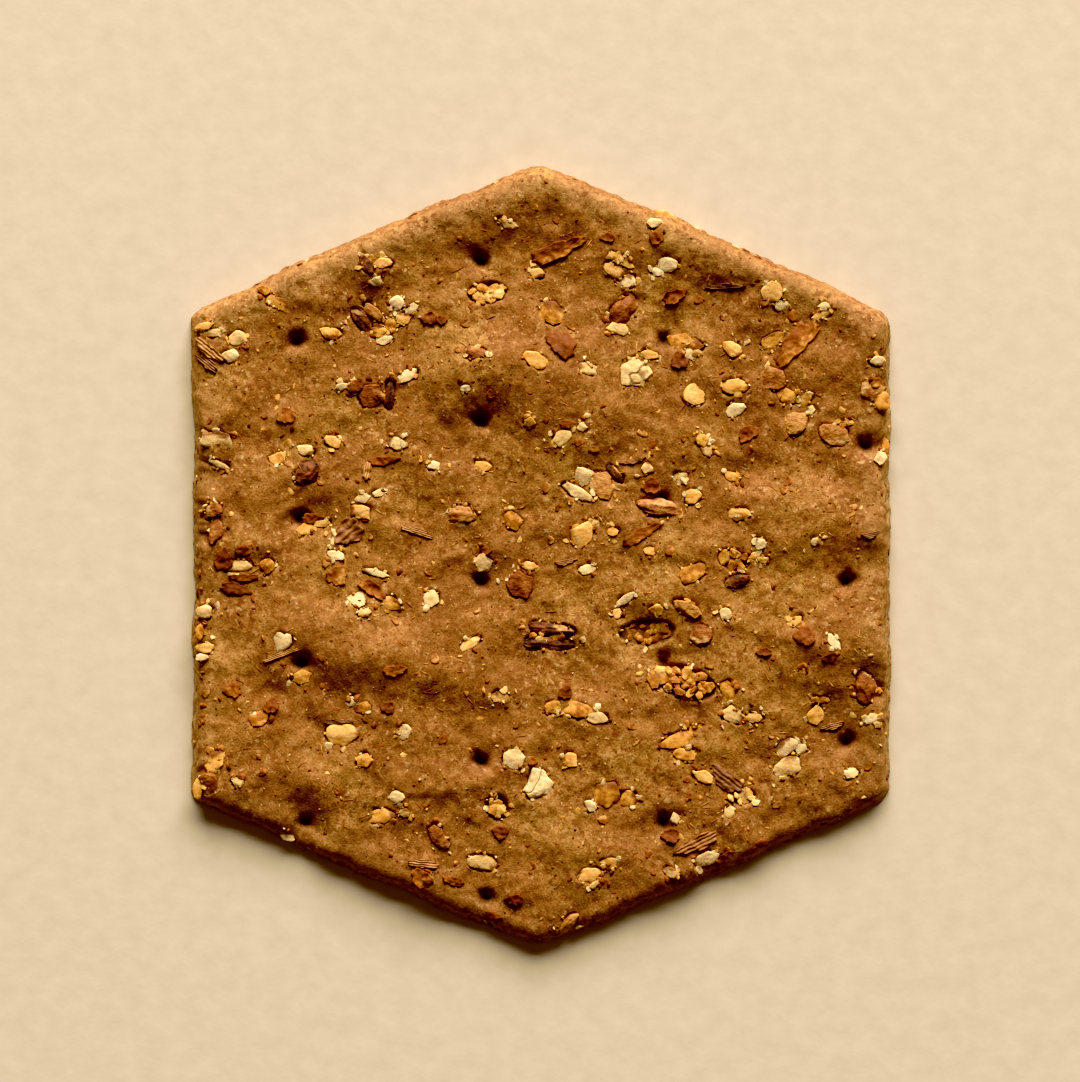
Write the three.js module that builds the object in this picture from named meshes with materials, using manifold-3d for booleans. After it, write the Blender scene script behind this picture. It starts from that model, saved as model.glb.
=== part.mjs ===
// A hexagonal rye cracker: one thin baked slab, pricked with rows of docking holes, with cracked
// rye and wheat grains baked into its upper face.
// Millimetres, +Z up. The origin is the middle of the flat underside. +Y points at one of the two
// blunt corners on the long axis, and the two straight long sides face +X and -X.

import * as THREE from "three";
import { mergeVertices } from "three/addons/utils/BufferGeometryUtils.js";
import Module from "manifold-3d";

// Outline at its widest, just above the underside
const WIDTH = 80; // across the two straight long sides
const LENGTH = 89.6; // from corner to corner along the long axis
const LONG_SIDE = 55.2; // each of the two straight long sides
const CORNER_SHARPNESS = 90; // power of the blend that rounds the corners; higher is sharper
// How far the middle of each side bows out of straight, counter-clockwise from the right upper side
const SIDE_BOWS = [0.35, 0.5, -0.4, 0.35, 0.25, 0];
// Unevenness of the cut edge: waves round the whole outline, their phase and their height
const EDGE_WAVES = [
  { count: 17, phase: 0.6, height: 0.1 },
  { count: 29, phase: 4.4, height: 0.08 },
];

// Section through the edge
const THICKNESS = 2.5; // of a level stretch between edge and swells
const FLARE = 0.5; // how far the cut wall leans out on its way down
const SHOULDER = 1.6; // width of the rounded upper edge
const SHOULDER_SHARE = 0.55; // how much of the height above the widest line the rounding takes
const FOOT_HEIGHT = 0.3; // height of the widest line
const FOOT_INSET = 0.35; // how far the flat underside stays inside the widest line

// How far the baking raised the edge along each side, counter-clockwise from the right upper one
const EDGE_RISES = [0.5, 0.7, 0.1, -0.1, -0.3, 0.1];
const EDGE_CREST = 2; // from the widest line inwards, where the raised edge starts to level out
const EDGE_END = 8; // and where it is level with the middle
const EDGE_BLEND = 3; // how soon one side's rise turns into the next one's round a corner

// Swells and hollows of the upper face: centre, reach along X and Y, height (a hollow is negative)
const SWELLS = [
  { x: -5, y: 21, reachX: 4.6, reachY: 3.2, height: 1.8 },
  { x: 3, y: 18.4, reachX: 3.4, reachY: 4, height: 1.5 },
  { x: -24, y: -9.6, reachX: 4.4, reachY: 3.2, height: 1.4 },
  { x: -15.4, y: -12.4, reachX: 4.4, reachY: 3, height: 1.4 },
  { x: 34, y: -9.4, reachX: 5, reachY: 3.6, height: 1.6 },
  { x: 32.6, y: 4, reachX: 5.2, reachY: 3, height: 1.2 },
  { x: -25, y: -24.6, reachX: 5, reachY: 2.6, height: 0.8 },
  { x: -13, y: -25.4, reachX: 5, reachY: 2.6, height: 0.6 },
  { x: 0, y: 41, reachX: 6, reachY: 2.2, height: 0.4 },
  { x: 20, y: 34.6, reachX: 4.4, reachY: 1.9, height: 0.4 },
  { x: 34, y: 22.4, reachX: 4.6, reachY: 2.4, height: 0.6 },
  { x: 3, y: -19, reachX: 6, reachY: 3, height: 0.5 },
  { x: 4, y: -34.6, reachX: 5, reachY: 2.8, height: 0.4 },
  { x: -34.4, y: 3, reachX: 4.4, reachY: 3.8, height: 0.6 },
  { x: -35.6, y: 17.6, reachX: 3.6, reachY: 3, height: 0.5 },
  { x: 13, y: -10, reachX: 4.4, reachY: 2.4, height: -0.5 },
  { x: 21, y: -24.6, reachX: 3.4, reachY: 2.6, height: -0.4 },
  { x: -10, y: -33.6, reachX: 4.4, reachY: 2.6, height: -0.3 },
  { x: 12.6, y: 27.4, reachX: 4, reachY: 2.2, height: -0.4 },
  { x: 24, y: 10.4, reachX: 3, reachY: 2.4, height: -0.3 },
];

// Docking holes: blind tapered pits on a staggered grid, each in a shallow dimple
const HOLE_PITCH_X = 20.85;
const HOLE_PITCH_Y = 18.3;
const FIRST_HOLE = { x: -6.8, y: 33.6 };
const HOLE_COLUMNS = [-1, 2]; // first and last column, counted from the first hole
const HOLE_ROWS = 5;
const HOLE_EDGE_MARGIN = 1.8; // least distance from a hole's middle to the edge
const HOLE_MOUTH_RADIUS = 1.15;
const HOLE_THROAT_RADIUS = 0.75;
const HOLE_THROAT_DEPTH = 0.6;
const HOLE_TIP_RADIUS = 0.45;
const HOLE_FLOOR = 0.6; // dough left under a hole
const HOLE_SIDES = 8;
const PIN_OVERSHOOT = 1; // how far the pricking pin stands above the mouth
const DIMPLE_DEPTH = 0.45;
const DIMPLE_REACH = 2.2;
// Holes that slipped while the dough stretched: column, row and how far
const SLIPPED_HOLES = [
  { column: -1, row: 1, x: 0.4, y: -1.9 },
  { column: -1, row: 2, x: 0.5, y: 0 },
  { column: -1, row: 3, x: 0.8, y: 0 },
  { column: 0, row: 3, x: 0, y: -2.2 },
  { column: 0, row: 4, x: 0.6, y: 0.6 },
  { column: 2, row: 1, x: 2.2, y: -2.8 },
];

// Triangle rows from the middle of the upper face to its edge
const TOP_RINGS = 18;
const SHOULDER_ROWS = 3;

// Grains. Thickness is a share of the width, proud the share of the thickness that stands out of
// the dough, and rough how far a corner may stray from an even oval.
const GRAIN_SHAPES = {
  kernel: { thickness: 0.7, proud: 0.38, rough: 0.08, tilt: 6 },
  chip: { thickness: 0.7, proud: 0.38, rough: 0.2, tilt: 10 },
  flake: { thickness: 0.5, proud: 0.3, rough: 0.12, tilt: 4 },
};
const GRAIN_LEAST_THICKNESS = 0.9;
const GRAIN_MOST_THICKNESS = 1.8;
const GRAIN_SEED = 11;

// The grains that show from a step away, set where this cracker has them, the largest first.
// Each row is x, y, length, width and turn in degrees.
const KERNELS = [
  [16.1, -14.4, 7.0, 3.2, -18], [12.2, -8.8, 6.4, 2.6, 3], [14.1, 5.4, 6.0, 2.0, -8],
  [1.1, -9.2, 5.8, 3.1, -3], [9.7, 28.2, 4.6, 2.6, 50], [37.1, -14.9, 4.0, 2.6, 105],
  [-6.0, 29.9, 4.0, 2.2, 8], [-8.9, 4.6, 3.7, 1.9, 5], [33.4, 13.8, 3.6, 2.2, -20],
  [26.5, 20.1, 3.6, 2.6, -10], [-21.8, 2.7, 3.4, 2.8, 40], [-2.2, -3.3, 3.4, 3.0, 110],
  [16.9, -6.1, 3.4, 1.6, -25], [-36.9, 2.9, 3.4, 1.6, 80], [-26.4, 9.5, 3.3, 2.6, 35],
  [-20.4, 26.9, 3.2, 1.5, -50], [-19.9, 33.3, 3.2, 1.5, -45], [22.0, -0.5, 3.2, 2.0, -20],
  [-11.6, -32.1, 3.2, 1.5, -50], [-19.1, 18.2, 3.0, 2.6, 55], [-7.6, 23.1, 3.0, 1.6, -5],
  [22.4, -3.0, 3.0, 1.4, 20], [3.2, -41.8, 3.0, 1.6, 40], [37.9, 18.7, 3.0, 2.8, 35],
  [-18.9, 27.7, 2.6, 1.2, -40], [18.4, -9.0, 2.6, 2.2, 25], [7.4, 6.8, 2.6, 2.2, 0],
  [-37.7, -26.0, 2.6, 2.0, 90], [-17.1, 18.2, 3.2, 1.2, 85],
];
const CHIPS = [
  [16.9, -20.4, 6.0, 1.9, 22], [3.2, -17.4, 5.4, 1.7, -8], [16.6, 24.3, 3.7, 1.7, -10],
  [10.8, 20.8, 3.6, 3.0, 35], [-22.6, -20.5, 3.4, 2.6, -10], [-18.1, -29.7, 3.4, 1.7, 10],
  [7.4, -27.2, 3.4, 2.7, 5], [-36.7, 13.0, 3.4, 2.2, -10], [-0.2, -26.1, 3.4, 3.2, -50],
  [-21.3, -4.4, 3.4, 2.0, -50], [4.3, 7.2, 3.4, 1.1, -30], [29.1, 15.2, 3.2, 3.0, -15],
  [-6.5, -35.0, 3.2, 1.8, -8], [19.0, -34.6, 3.2, 1.4, 22], [22.8, -27.4, 3.2, 1.6, 0],
  [22.2, 19.2, 3.0, 1.7, 0], [17.4, -2.0, 3.0, 1.9, 30], [14.3, 38.5, 3.0, 1.4, -23],
  [28.2, -24.1, 3.0, 2.0, 25], [21.4, -15.5, 2.9, 1.6, -65], [5.6, -36.4, 2.9, 1.6, 5],
  [-0.4, 22.2, 2.9, 1.7, -20], [4.7, 2.4, 2.8, 2.4, 25], [1.3, 27.7, 2.8, 2.4, -35],
  [28.2, -21.7, 2.8, 1.6, 28], [-34.0, -1.2, 2.8, 1.2, 0], [26.5, 24.5, 2.6, 1.6, 25],
  [17.5, 18.3, 2.6, 2.2, -40], [-29.8, 28.7, 2.6, 1.4, -28], [22.6, 4.7, 2.6, 1.5, -10],
  [-37.0, -23.4, 2.6, 1.8, 40], [22.0, -18.1, 2.6, 1.6, -25], [5.6, 21.2, 2.6, 1.6, -15],
  [8.9, 25.8, 2.6, 1.3, -10], [-4.9, -28.7, 2.6, 2.2, -55], [16.5, -22.7, 2.4, 1.5, -3],
  [8.4, 32.5, 2.4, 1.8, -25], [26.4, 30.0, 2.4, 2.2, 0], [-20.5, 5.0, 2.4, 1.5, -20],
  [-17.0, -5.4, 2.4, 1.5, -30], [-27.3, -13.9, 2.4, 1.5, 15], [-32.1, -18.5, 2.4, 1.8, 20],
  [-8.0, -10.1, 2.4, 1.2, 28], [-23.9, 25.3, 2.4, 1.2, -8], [-15.1, 20.5, 2.4, 1.2, 30],
  [22.3, 16.6, 2.4, 1.4, 15], [-29.3, -9.7, 2.2, 2.0, 50], [-6.5, -0.9, 2.2, 1.9, -20],
  [-2.9, -23.2, 2.2, 2.0, 0], [-3.1, 3.9, 2.2, 1.8, -20], [28.2, 18.2, 2.2, 1.8, 0],
  [31.4, -18.2, 2.1, 1.9, 90], [-12.4, -4.8, 2.0, 1.8, 75], [4.9, 9.0, 2.0, 1.9, 0],
  [14.5, 33.1, 2.0, 1.7, -20],
];
const FLAKES = [
  [29.2, 24.2, 6.5, 2.4, 48], [1.9, 34.7, 6.4, 1.9, 22], [11.5, 2.4, 5.0, 1.3, 30],
  [18.0, -32.8, 5.0, 1.6, 25], [-37.4, 23.4, 4.2, 1.4, -38], [21.3, -25.6, 4.0, 2.0, -40],
  [2.5, 24.0, 3.6, 2.6, -40], [-14.0, 2.7, 3.6, 0.9, -18], [-34.7, -3.8, 3.4, 1.4, -10],
  [-17.9, 10.8, 3.4, 1.0, 5], [-19.1, -3.8, 3.4, 1.5, -35], [-13.2, -35.1, 3.4, 1.0, -5],
  [15.3, 29.5, 2.8, 1.5, 25], [-36.0, -0.5, 2.6, 2.0, 80], [-13.5, -36.8, 2.6, 2.0, -40],
  [30.1, -9.2, 2.4, 2.0, 0], [23.7, 13.9, 2.4, 1.6, 35], [-23.1, -2.3, 2.4, 2.2, 40],
];

// Finish of the baked dough
const DOUGH_COLOR = 0x9f6a3c;
const DOUGH_ROUGHNESS = 0.85;

// Points closer than this are one point of a closed surface
const MERGE_GAP = 1e-4;

const wasm = await Module();
wasm.setup();

// Repeatable draws between 0 and 1
function makeDraw(seed) {
  let state = seed;
  return () => {
    state = (state + 0x6d2b79f5) | 0;
    let mixed = Math.imul(state ^ (state >>> 15), state | 1);
    mixed ^= mixed + Math.imul(mixed ^ (mixed >>> 7), mixed | 61);
    return ((mixed ^ (mixed >>> 14)) >>> 0) / 2 ** 32;
  };
}

// A closed geometry as a solid that can be joined and cut
function toSolid(geometry) {
  const bare = geometry.clone();
  bare.deleteAttribute("normal");
  bare.deleteAttribute("uv");
  const merged = mergeVertices(bare, MERGE_GAP);
  const vertProperties = new Float32Array(merged.getAttribute("position").array);
  const triVerts = new Uint32Array(merged.getIndex().array);
  return new wasm.Manifold(new wasm.Mesh({ numProp: 3, vertProperties, triVerts }));
}

function toGeometry(solid) {
  const { vertProperties, triVerts } = solid.getMesh();
  const geometry = new THREE.BufferGeometry();
  geometry.setAttribute("position", new THREE.BufferAttribute(vertProperties, 3));
  geometry.setIndex(new THREE.BufferAttribute(triVerts, 1));
  geometry.computeVertexNormals();
  return geometry;
}

// The six corners, counter-clockwise from the right upper one
const CORNERS = [
  [WIDTH / 2, LONG_SIDE / 2],
  [0, LENGTH / 2],
  [-WIDTH / 2, LONG_SIDE / 2],
  [-WIDTH / 2, -LONG_SIDE / 2],
  [0, -LENGTH / 2],
  [WIDTH / 2, -LONG_SIDE / 2],
].map(([x, y]) => new THREE.Vector2(x, y));

// Each side as the direction it faces and its distance from the middle
const SIDES = CORNERS.map((corner, index) => {
  const next = CORNERS[(index + 1) % CORNERS.length];
  const along = next.clone().sub(corner);
  const half = along.length() / 2;
  along.normalize();
  const facing = new THREE.Vector2(along.y, -along.x);
  const middle = corner.clone().add(next).multiplyScalar(0.5);
  return { along, half, facing, middle, distance: facing.dot(corner), bow: SIDE_BOWS[index] };
});

// Distance from a point of the upper face to the nearest side
function edgeDistance(x, y) {
  return Math.min(...SIDES.map(({ facing, distance }) => distance - facing.x * x - facing.y * y));
}

// Radius of the outline, drawn in by an inset, in the direction of an angle
function outlineRadius(angle, inset) {
  const ray = new THREE.Vector2(Math.cos(angle), Math.sin(angle));
  let sum = 0;
  for (const { along, half, facing, middle, distance, bow } of SIDES) {
    const lean = facing.dot(ray);
    if (lean <= 0) continue;
    const place = ray.clone().multiplyScalar(distance / lean).sub(middle).dot(along) / half;
    const reach = distance - inset + bow * Math.max(0, 1 - place * place);
    sum += (lean / reach) ** CORNER_SHARPNESS;
  }
  let radius = sum ** (-1 / CORNER_SHARPNESS);
  for (const { count, phase, height } of EDGE_WAVES) {
    radius += height * Math.sin(count * angle + phase);
  }
  return radius;
}

function makeHoles() {
  const holes = [];
  for (let column = HOLE_COLUMNS[0]; column <= HOLE_COLUMNS[1]; column += 1) {
    const stagger = column % 2 === 0 ? 0 : HOLE_PITCH_Y / 2;
    for (let row = 0; row < HOLE_ROWS; row += 1) {
      const x = FIRST_HOLE.x + column * HOLE_PITCH_X;
      const y = FIRST_HOLE.y - row * HOLE_PITCH_Y - stagger;
      const slip = SLIPPED_HOLES.find((hole) => hole.column === column && hole.row === row);
      if (edgeDistance(x, y) > HOLE_EDGE_MARGIN) {
        holes.push({ x: x + (slip?.x ?? 0), y: y + (slip?.y ?? 0) });
      }
    }
  }
  return holes;
}

const HOLES = makeHoles();

function bell(distance, reach) {
  return Math.exp(-0.5 * (distance / reach) ** 2);
}

// How far the edge's rise lifts the upper face at a point
function edgeRise(x, y) {
  let sum = 0;
  let total = 0;
  SIDES.forEach(({ facing, distance }, index) => {
    const weight = Math.exp((facing.x * x + facing.y * y - distance) / EDGE_BLEND);
    sum += weight * EDGE_RISES[index];
    total += weight;
  });
  const level = THREE.MathUtils.smoothstep(edgeDistance(x, y), EDGE_CREST, EDGE_END);
  return (sum / total) * (1 - level);
}

// Height of the upper face, before the holes are pricked
function topHeight(x, y) {
  let height = THICKNESS + edgeRise(x, y);
  for (const swell of SWELLS) {
    height += swell.height * bell(x - swell.x, swell.reachX) * bell(y - swell.y, swell.reachY);
  }
  for (const hole of HOLES) {
    height -= DIMPLE_DEPTH * bell(Math.hypot(x - hole.x, y - hole.y), DIMPLE_REACH);
  }
  return height;
}

// How far the rounded upper edge comes down from the height of the face
function shoulderDrop(top) {
  return SHOULDER_SHARE * (top - FOOT_HEIGHT);
}

// Height of the skin, down over the rounded shoulder and the leaning wall at the edge
function skinHeight(x, y) {
  const top = topHeight(x, y);
  const drop = shoulderDrop(top);
  const inset = Math.max(0, edgeDistance(x, y));
  if (inset >= FLARE + SHOULDER) return top;
  if (inset < FLARE) return FOOT_HEIGHT + (inset / FLARE) * (top - drop - FOOT_HEIGHT);
  const run = (FLARE + SHOULDER - inset) / SHOULDER;
  return top - drop * (1 - Math.sqrt(1 - run * run));
}

// The slab: the upper face as rings of triangles round the middle, then the rounded shoulder, the
// leaning cut wall and the flat underside as rows with as many points as the outermost ring.
function makeSlab() {
  const sectors = CORNERS.length;
  const rowLength = sectors * TOP_RINGS;
  const points = [0, 0, topHeight(0, 0)];
  const triangles = [];

  const ringAngle = (ring, step) => {
    const sector = Math.floor(step / ring) % sectors;
    const place = new THREE.Vector2();
    place.lerpVectors(CORNERS[sector], CORNERS[(sector + 1) % sectors], (step % ring) / ring);
    return place.angle();
  };
  const ringPoint = (ring, step) => {
    if (ring === 0) return 0;
    return 1 + (sectors * ring * (ring - 1)) / 2 + (step % (sectors * ring));
  };

  const topInset = FLARE + SHOULDER;
  for (let ring = 1; ring <= TOP_RINGS; ring += 1) {
    for (let step = 0; step < sectors * ring; step += 1) {
      const angle = ringAngle(ring, step);
      const radius = (outlineRadius(angle, topInset) * ring) / TOP_RINGS;
      const x = radius * Math.cos(angle);
      const y = radius * Math.sin(angle);
      points.push(x, y, topHeight(x, y));
    }
    for (let sector = 0; sector < sectors; sector += 1) {
      for (let step = 0; step < ring; step += 1) {
        const outer = ringPoint(ring, sector * ring + step);
        const outerNext = ringPoint(ring, sector * ring + step + 1);
        const inner = ringPoint(ring - 1, sector * (ring - 1) + step);
        triangles.push(inner, outer, outerNext);
        if (step < ring - 1) {
          const innerNext = ringPoint(ring - 1, sector * (ring - 1) + step + 1);
          triangles.push(inner, outerNext, innerNext);
        }
      }
    }
  }

  // Rows below the upper face: inset from the widest line, and height as a share of the rounded
  // edge's drop or as a height above the underside
  const rows = [];
  for (let row = 1; row <= SHOULDER_ROWS; row += 1) {
    const turn = (row / SHOULDER_ROWS) * (Math.PI / 2);
    rows.push({ inset: topInset - SHOULDER * Math.sin(turn), share: 1 - Math.cos(turn) });
  }
  rows.push({ inset: 0, height: FOOT_HEIGHT });
  rows.push({ inset: FOOT_INSET, height: 0 });

  let above = ringPoint(TOP_RINGS, 0);
  const topRow = above;
  for (const { inset, share, height } of rows) {
    const below = points.length / 3;
    for (let step = 0; step < rowLength; step += 1) {
      const angle = ringAngle(TOP_RINGS, step);
      const radius = outlineRadius(angle, inset);
      const edgeHeight = points[3 * (topRow + step) + 2];
      const rounded = edgeHeight - share * shoulderDrop(edgeHeight);
      points.push(radius * Math.cos(angle), radius * Math.sin(angle), height ?? rounded);
    }
    for (let step = 0; step < rowLength; step += 1) {
      const next = (step + 1) % rowLength;
      triangles.push(above + step, below + step, below + next);
      triangles.push(above + step, below + next, above + next);
    }
    above = below;
  }

  const middle = points.length / 3;
  points.push(0, 0, 0);
  for (let step = 0; step < rowLength; step += 1) {
    triangles.push(above + step, middle, above + ((step + 1) % rowLength));
  }

  const geometry = new THREE.BufferGeometry();
  geometry.setAttribute("position", new THREE.Float32BufferAttribute(points, 3));
  geometry.setIndex(triangles);
  return toSolid(geometry);
}

// One docking hole as the pin that pricks it: a funnel mouth, then a taper to a blind end
function makeHolePin({ x, y }) {
  const mouth = topHeight(x, y);
  const above = mouth + PIN_OVERSHOOT;
  const profile = [
    new THREE.Vector2(0, HOLE_FLOOR),
    new THREE.Vector2(HOLE_TIP_RADIUS, HOLE_FLOOR),
    new THREE.Vector2(HOLE_THROAT_RADIUS, mouth - HOLE_THROAT_DEPTH),
    new THREE.Vector2(HOLE_MOUTH_RADIUS, mouth),
    new THREE.Vector2(HOLE_MOUTH_RADIUS, above),
    new THREE.Vector2(0, above),
  ];
  const pin = new THREE.LatheGeometry(profile, HOLE_SIDES);
  pin.rotateX(Math.PI / 2);
  pin.translate(x, y, 0);
  return toSolid(pin);
}

// One grain: an uneven faceted oval, sunk in the upper face
function makeGrain([x, y, length, width, turn], shape, draw) {
  const grain = new THREE.OctahedronGeometry(1, 1);
  grain.deleteAttribute("normal");
  grain.deleteAttribute("uv");
  const corners = mergeVertices(grain);
  const position = corners.getAttribute("position");
  for (let index = 0; index < position.count; index += 1) {
    const stretch = 1 + shape.rough * (2 * draw() - 1);
    position.setXYZ(
      index,
      position.getX(index) * stretch,
      position.getY(index) * stretch,
      position.getZ(index) * stretch,
    );
  }
  const wanted = width * shape.thickness;
  const thickness = THREE.MathUtils.clamp(wanted, GRAIN_LEAST_THICKNESS, GRAIN_MOST_THICKNESS);
  const tilt = THREE.MathUtils.degToRad(shape.tilt);
  corners.scale(length / 2, width / 2, thickness / 2);
  corners.rotateX(tilt * (2 * draw() - 1));
  corners.rotateY(tilt * (2 * draw() - 1));
  corners.rotateZ(THREE.MathUtils.degToRad(turn));
  corners.translate(x, y, skinHeight(x, y) + thickness * (shape.proud - 0.5));
  return toSolid(corners);
}

function makeGrains() {
  const draw = makeDraw(GRAIN_SEED);
  const grow = (rows, shape) => rows.map((row) => makeGrain(row, shape, draw));
  return [
    ...grow(KERNELS, GRAIN_SHAPES.kernel),
    ...grow(CHIPS, GRAIN_SHAPES.chip),
    ...grow(FLAKES, GRAIN_SHAPES.flake),
  ];
}

// The largest closed body of a solid, with its sealed hollows filled
function keepWhole(solid) {
  const bodies = solid.decompose();
  return bodies.reduce((largest, body) => (body.volume() > largest.volume() ? body : largest));
}

function makeCracker() {
  let body = makeSlab();
  for (const hole of HOLES) body = body.subtract(makeHolePin(hole));
  for (const grain of makeGrains()) body = body.add(grain);
  const material = new THREE.MeshStandardMaterial({
    color: DOUGH_COLOR,
    roughness: DOUGH_ROUGHNESS,
    metalness: 0,
  });
  const cracker = new THREE.Mesh(toGeometry(keepWhole(body)), material);
  cracker.name = "cracker";
  return cracker;
}

const group = new THREE.Group();
group.name = "rye_cracker";
group.add(makeCracker());

export default group;
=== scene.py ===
import math

import bmesh
import bpy
import numpy as np
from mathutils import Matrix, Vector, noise


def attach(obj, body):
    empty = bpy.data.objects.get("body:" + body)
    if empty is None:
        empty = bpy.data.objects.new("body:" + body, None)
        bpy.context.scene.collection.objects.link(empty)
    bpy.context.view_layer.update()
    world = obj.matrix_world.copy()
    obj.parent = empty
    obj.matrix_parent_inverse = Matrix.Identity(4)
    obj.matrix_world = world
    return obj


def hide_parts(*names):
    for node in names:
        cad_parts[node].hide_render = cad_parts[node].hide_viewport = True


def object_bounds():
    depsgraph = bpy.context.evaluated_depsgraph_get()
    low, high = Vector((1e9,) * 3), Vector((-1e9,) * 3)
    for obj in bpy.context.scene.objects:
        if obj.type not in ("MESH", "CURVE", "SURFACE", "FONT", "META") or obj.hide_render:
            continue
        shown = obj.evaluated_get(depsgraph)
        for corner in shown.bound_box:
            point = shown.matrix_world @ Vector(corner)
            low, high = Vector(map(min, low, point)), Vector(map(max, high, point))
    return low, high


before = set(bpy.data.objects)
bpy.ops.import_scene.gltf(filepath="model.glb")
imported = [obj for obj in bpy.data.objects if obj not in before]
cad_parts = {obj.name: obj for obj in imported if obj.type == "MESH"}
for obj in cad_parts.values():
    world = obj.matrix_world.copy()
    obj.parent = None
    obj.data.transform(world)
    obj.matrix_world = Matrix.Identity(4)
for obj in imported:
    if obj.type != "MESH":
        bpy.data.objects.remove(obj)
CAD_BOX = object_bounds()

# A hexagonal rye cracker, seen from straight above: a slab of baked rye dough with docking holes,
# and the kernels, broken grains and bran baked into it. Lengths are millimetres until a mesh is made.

MM = 0.001
TURN = 2 * math.pi

# Outline at its widest, as in the solid
WIDTH = 80.0  # across the two straight long sides
LENGTH = 89.6  # from corner to corner along the long axis
LONG_SIDE = 55.2
CORNER_SHARPNESS = 90  # the higher, the less the corners are rounded
SIDE_BOWS = np.array([0.35, 0.5, -0.4, 0.35, 0.25, 0.0])  # counter-clockwise from the right upper side
EDGE_WAVES = [(17, 0.6, 0.1), (29, 4.4, 0.08)]  # waves round the outline, phase, height

# Section through the edge, as in the solid
THICKNESS = 2.5
FLARE = 0.5  # how far the wall leans out towards its foot
SHOULDER = 1.6  # width of the rounded upper edge
SHOULDER_SHARE = 0.55  # its share of the wall's height
TOP_INSET = FLARE + SHOULDER
FOOT_HEIGHT = 0.3
FOOT_INSET = 0.35
EDGE_CREST = 2.0
EDGE_BLEND = 3.0  # over which one side's edge turns into the next one's

# The edge of each side, counter-clockwise from the right upper one
EDGE_RISES = np.array([0.5, 0.7, 0.1, -0.1, -0.3, 0.1])
EDGE_ENDS = np.array([6.5, 9.5, 8.0, 8.0, 8.0, 8.0])  # how far in from the side the rise ends
# The rounded edge is partly rubbed paler and partly painted light, paler on the sides that face the lamp;
# the cut wall's paleness is painted light, most on the walls that turn away from it
RUBBED_AND_LIT_PALE = np.array([0.25, 0.3, 0.15, 0.1, 0.0, 0.2])  # how pale the rounded edge is
RUBBED_AND_LIT_BAND = (0.2, 2.4)  # where that fades, from the rounded edge inwards
WALL_PALE = np.array([0.0, 0.1, 0.9, 0.7, 0.7, 0.8])  # how pale the cut wall is

# Swells and hollows of the upper face, as in the solid: x, y, reach along x and y, height
SWELLS = [
    (-5.0, 21.0, 4.6, 3.2, 1.8), (3.0, 18.4, 3.4, 4.0, 1.5), (-24.0, -9.6, 4.4, 3.2, 1.4),
    (-15.4, -12.4, 4.4, 3.0, 1.4), (34.0, -9.4, 5.0, 3.6, 1.6), (32.6, 4.0, 5.2, 3.0, 1.2),
    (-25.0, -24.6, 5.0, 2.6, 0.8), (-13.0, -25.4, 5.0, 2.6, 0.6), (0.0, 41.0, 6.0, 2.2, 0.4),
    (20.0, 34.6, 4.4, 1.9, 0.4), (34.0, 22.4, 4.6, 2.4, 0.6), (3.0, -19.0, 6.0, 3.0, 0.5),
    (4.0, -34.6, 5.0, 2.8, 0.4), (-34.4, 3.0, 4.4, 3.8, 0.6), (-35.6, 17.6, 3.6, 3.0, 0.5),
    (13.0, -10.0, 4.4, 2.4, -0.5), (21.0, -24.6, 3.4, 2.6, -0.4), (-10.0, -33.6, 4.4, 2.6, -0.3),
    (12.6, 27.4, 4.0, 2.2, -0.4), (24.0, 10.4, 3.0, 2.4, -0.3),
]

# Docking holes on their staggered grid, as in the solid
HOLE_PITCH_X = 20.85
HOLE_PITCH_Y = 18.3
FIRST_HOLE = (-6.8, 33.6)
HOLE_COLUMNS = range(-1, 3)
HOLE_ROWS = range(5)
HOLE_EDGE_MARGIN = 1.8
SLIPPED_HOLES = {  # column and row of a hole, and how far it slipped
    (-1, 1): (0.4, -1.9), (-1, 2): (0.5, 0.0), (-1, 3): (0.8, 0.0),
    (0, 3): (0.0, -2.2), (0, 4): (0.6, 0.6), (2, 1): (2.2, -2.8),
}
HOLE_MOUTH_RADIUS = 1.15
HOLE_RAGS = (0.1, 0.06)  # how oval and how nicked its rim is
HOLE_TAPER = 0.5  # spread of a hole's slopes, as a share of its mouth's radius
HOLE_FLOOR = 0.6
DIMPLE_DEPTH = 0.45
DIMPLE_REACH = 2.2

# Rows of the dough's mesh
TOP_RINGS = 160  # from the middle of the upper face to its edge, about 0.25 mm each
UNDER_RINGS = 40  # of the underside, a quarter as many
SHOULDER_ROWS = 7
WALL_ROWS = 5

# Unevenness that the risen dough set with: size of the lumps, their height, and their layer of noise
LUMPS = [(5.5, 0.52, 3.1), (2.4, 0.16, 6.4), (0.9, 0.06, 8.7)]
CAP_BEND = 0.1  # over which the highest lumps are bent down under the solid's top
CUT_ROUGHNESS = 0.2  # of the wall and the rounded edge
CUT_CRUMB = 0.9  # size of the crumb that shows in the wall, and of the broader tears
CUT_TEAR = 5.0
# Painted shade in the torn pits of the cut wall
CUT_PIT_PAINTED_SHADE = 0.12
# Painted shade in the gaps round the grains and inside the docking holes
GAP_PAINTED_SHADE = 0.7  # how dark the gaps round the grains and the holes are
HOLE_PAINTED_SHADE = 0.75
UNDER_INSET = 0.8  # from the foot to the underside's outer ring
UNDER_DIMPLE = 0.06
UNDER_PALE = 0.3

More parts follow.
